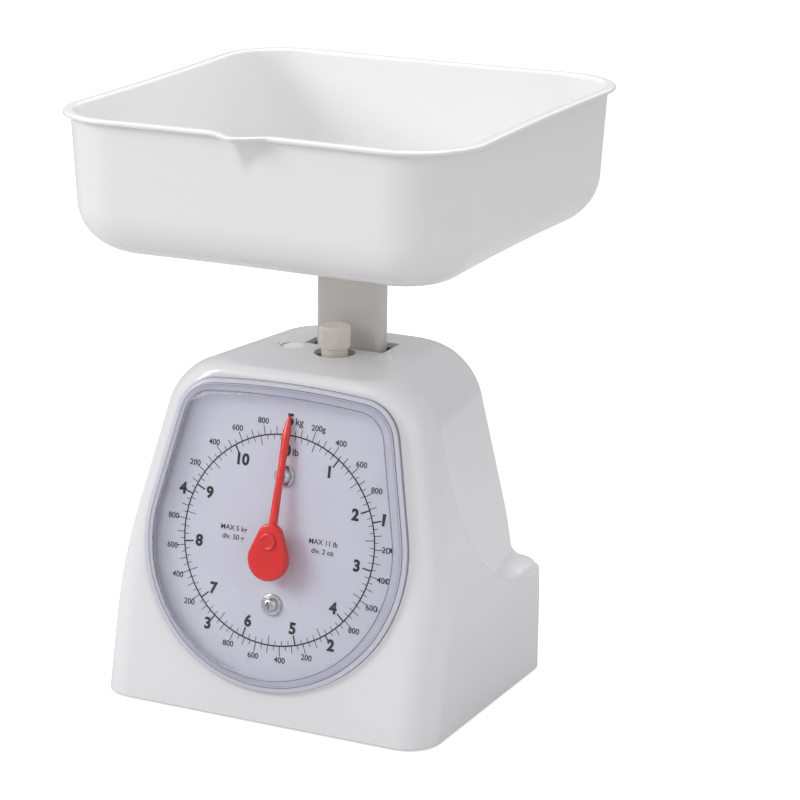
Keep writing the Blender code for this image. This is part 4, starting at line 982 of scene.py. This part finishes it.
def tray_ring(z, inset, corner, sharp=1.0):
    """A rounded square with its sides drawn in a little and the lip pushed out of its front."""
    half_x = TRAY_HALF_X / (1 - TRAY_BOW) - inset
    half_y = TRAY_HALF_Y / (1 - TRAY_BOW) - inset
    outline = rounded_box(-half_x, half_x, -half_y, half_y, [corner] * 4, 16)
    edge = SPOUT_HALF * 1.25
    spout = [(edge * i / 24, -half_y) for i in range(-24, 25)]
    start, end = outline[-1][0], outline[0][0]
    left = [(start + (-edge - start) * i / 5, -half_y) for i in range(1, 5)]
    right = [(edge + (end - edge) * i / 5, -half_y) for i in range(1, 5)]
    others = with_middles(outline)[: 1 - SIDE_PIECES]  # all but the front side's own middles
    points = []
    for x, y in left + spout + right + others:
        draw_x = 1 - TRAY_BOW * (1 - (y / half_y) ** 2)
        draw_y = 1 - TRAY_BOW * (1 - (x / half_x) ** 2)
        near = y < 0.01 - half_y and abs(x) < SPOUT_HALF * 1.3
        push = spout_push(x, z, sharp) if near and z > TRAY_TOP - SPOUT_DROP - 3 else 0.0
        points.append((x * draw_x, TRAY_Y + y * draw_y - push, z))
    return points


def tray_wall(inset, bottom, radius, sharp):
    """Rings from the floor up: a rounded foot, then the drafted wall."""
    rings = []
    turns = 14
    for i in range(turns + 1):
        a = (pi / 2) * i / turns
        z = bottom + radius * (1 - cos(a))
        drawn = radius * (1 - sin(a))
        draw = inset + drawn + TRAY_DRAFT * (TRAY_TOP - z)
        rings.append(tray_ring(z, draw, TRAY_CORNER - inset - 0.8 * drawn, sharp))
    return rings


def tray():
    foot = TRAY_BOTTOM + TRAY_ROUND
    rise = TRAY_TOP - foot
    outer = tray_wall(RIM_LIP, TRAY_BOTTOM, TRAY_ROUND, 1.6)
    for share in (0.2, 0.4, 0.55, 0.65, 0.75, 0.83, 0.9):
        z = foot + rise * share
        outer.append(tray_ring(z, RIM_LIP + TRAY_DRAFT * (TRAY_TOP - z), TRAY_CORNER - RIM_LIP, 1.6))
    under = TRAY_TOP - 2.2
    rim = [(under - 0.5, RIM_LIP), (under, RIM_LIP - 0.3), (under + 0.15, 0.9), (under + 0.3, 0.35)]
    rim += [(under + 0.6, 0.05), (under + 1.1, 0.0), (under + 1.6, 0.1), (TRAY_TOP - 0.25, 0.45)]
    rim += [(TRAY_TOP, 1.1), (TRAY_TOP, RIM_LIP + TRAY_WALL - 1.6)]
    rim += [(TRAY_TOP - 0.2, RIM_LIP + TRAY_WALL - 0.9)]
    rim += [(TRAY_TOP - 0.7, RIM_LIP + TRAY_WALL - 0.3), (TRAY_TOP - 1.5, RIM_LIP + TRAY_WALL)]
    rings = outer + [tray_ring(z, inset, TRAY_CORNER - inset, 1.4) for z, inset in rim]
    inner_radius = TRAY_ROUND - 1.0
    inner_foot = TRAY_BOTTOM + TRAY_FLOOR + inner_radius
    inner_rise = TRAY_TOP - inner_foot
    inset = RIM_LIP + TRAY_WALL
    for share in (0.9, 0.83, 0.75, 0.65, 0.55, 0.4, 0.2):
        z = inner_foot + inner_rise * share
        rings.append(tray_ring(z, inset + TRAY_DRAFT * (TRAY_TOP - z), TRAY_CORNER - inset, 1.0))
    rings += tray_wall(inset, TRAY_BOTTOM + TRAY_FLOOR, inner_radius, 1.0)[::-1]
    made = make("tray_moulding", strip(rings), TRAY_WHITE, "tray", None, 50)
    even_shading(made)
    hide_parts("tray")


# ---------------------------------------------------------------- pieces that keep their CAD shape

CARRIED_OVER = {
    "base_grey": GREY,
    "foot_rubber": RUBBER,
    "dial_face": FACE,
    "zinc_steel": ZINC,
    "sheet_steel": SHEET,
    "spring_steel": SPRING,
    "brass": BRASS,
}


def refinish():
    slots = {entry["node"]: entry["material_slot"] for entry in frame["record"]["subparts"]}
    for node, made in NODES.items():
        finish = CARRIED_OVER.get(slots[node])
        if finish:
            made.data.materials.clear()
            made.data.materials.append(finish)


# ---------------------------------------------------------------- studio

# Each lamp's name, place in metres, width and height in metres, and power in watts.
LAMPS = (
    ("key", (-1.0, -0.85, 0.85), (0.6, 0.6), 8.8),
    ("overhead", (0.05, 0.15, 1.75), (0.9, 0.9), 10.0),
    ("fill", (1.4, -0.9, 0.8), (1.2, 1.2), 3.0),
    ("back", (-0.1, 1.3, 1.2), (1.6, 0.8), 3.0),
)
LAMP_TARGET = Vector((0, 0, 0.14))
FLOOR_LIFT = 0.6


def lamp(name, place, size, power):
    light = bpy.data.lights.new(name, "AREA")
    light.shape = "RECTANGLE"
    light.size, light.size_y = size
    light.energy = power
    made = bpy.data.objects.new(name, light)
    made.location = place
    made.rotation_euler = (LAMP_TARGET - Vector(place)).to_track_quat("-Z", "Y").to_euler()
    bpy.context.scene.collection.objects.link(made)


def floor():
    """A pale sweep; the camera sees it a little brighter than it is, so that it runs out to white."""
    bm = bmesh.new()
    bmesh.ops.create_grid(bm, x_segments=1, y_segments=1, size=80.0 / MM)
    made = Shader("studio_floor")
    made.drive("Base Color", made.ramp(made.noise(3.0), ((0.3, 0.60), (0.7, 0.62))))
    made.set("Roughness", 0.9)
    made.set("Specular IOR Level", 0.1)
    path = made.node("ShaderNodeLightPath")
    lift = made.node("ShaderNodeMath", operation="MULTIPLY")
    lift.inputs[1].default_value = FLOOR_LIFT
    made.link(path.outputs["Is Camera Ray"], lift.inputs[0])
    made.set("Emission Color", (1, 1, 1, 1))
    made.drive("Emission Strength", lift.outputs["Value"])
    make("floor", bm, made.material, None)


def sky():
    """Soft light from all round, brighter overhead than at the sides; the camera sees plain white."""
    world = bpy.data.worlds.new("studio")
    world.use_nodes = True
    tree = world.node_tree
    background = tree.nodes["Background"]
    place = tree.nodes.new("ShaderNodeTexCoord")
    split = tree.nodes.new("ShaderNodeSeparateXYZ")
    ramp = tree.nodes.new("ShaderNodeValToRGB")
    ramp.color_ramp.elements[0].position = 0.0
    ramp.color_ramp.elements[0].color = (0.40, 0.40, 0.405, 1)
    ramp.color_ramp.elements[1].position = 0.8
    ramp.color_ramp.elements[1].color = (0.74, 0.74, 0.745, 1)
    path = tree.nodes.new("ShaderNodeLightPath")
    seen = tree.nodes.new("ShaderNodeMixRGB")
    seen.inputs["Color2"].default_value = (1, 1, 1, 1)
    tree.links.new(place.outputs["Generated"], split.inputs[0])
    tree.links.new(split.outputs["Z"], ramp.inputs[0])
    tree.links.new(path.outputs["Is Camera Ray"], seen.inputs["Fac"])
    tree.links.new(ramp.outputs["Color"], seen.inputs["Color1"])
    tree.links.new(seen.outputs["Color"], background.inputs["Color"])
    bpy.context.scene.world = world


def studio():
    floor()
    sky()
    for name, place, size, power in LAMPS:
        lamp(name, place, size, power)
    bpy.context.scene.view_settings.view_transform = "Standard"


# Fitted to the photo: place in metres from the middle of the housing's base, angles in degrees.
CAMERA_PLACE = (0.64354, -1.27596, 0.54864)
CAMERA_TURN, CAMERA_DOWN, CAMERA_ROLL = 28.76, 17.55, -0.18
CAMERA_LENS = 145.7
CAMERA_SHIFT = (0.2274, 0.1013)


def camera():
    data = bpy.data.cameras.new("camera")
    data.sensor_width = 36.0
    data.lens = CAMERA_LENS
    data.shift_x, data.shift_y = CAMERA_SHIFT
    data.clip_end = 50.0
    made = bpy.data.objects.new("camera", data)
    turn = Matrix.Rotation(radians(CAMERA_TURN), 4, "Z")
    turn = turn @ Matrix.Rotation(radians(90 - CAMERA_DOWN), 4, "X")
    turn = turn @ Matrix.Rotation(radians(CAMERA_ROLL), 4, "Z")
    place = Vector((0, BASE_Y * MM, 0)) + Vector(CAMERA_PLACE)
    made.matrix_world = Matrix.Translation(place) @ turn
    bpy.context.scene.collection.objects.link(made)
    bpy.context.scene.camera = made


refinish()
housing()
lens()
dial()
dial_fasteners()
pointer()
zero_knob()
post()
tray()
studio()
camera()
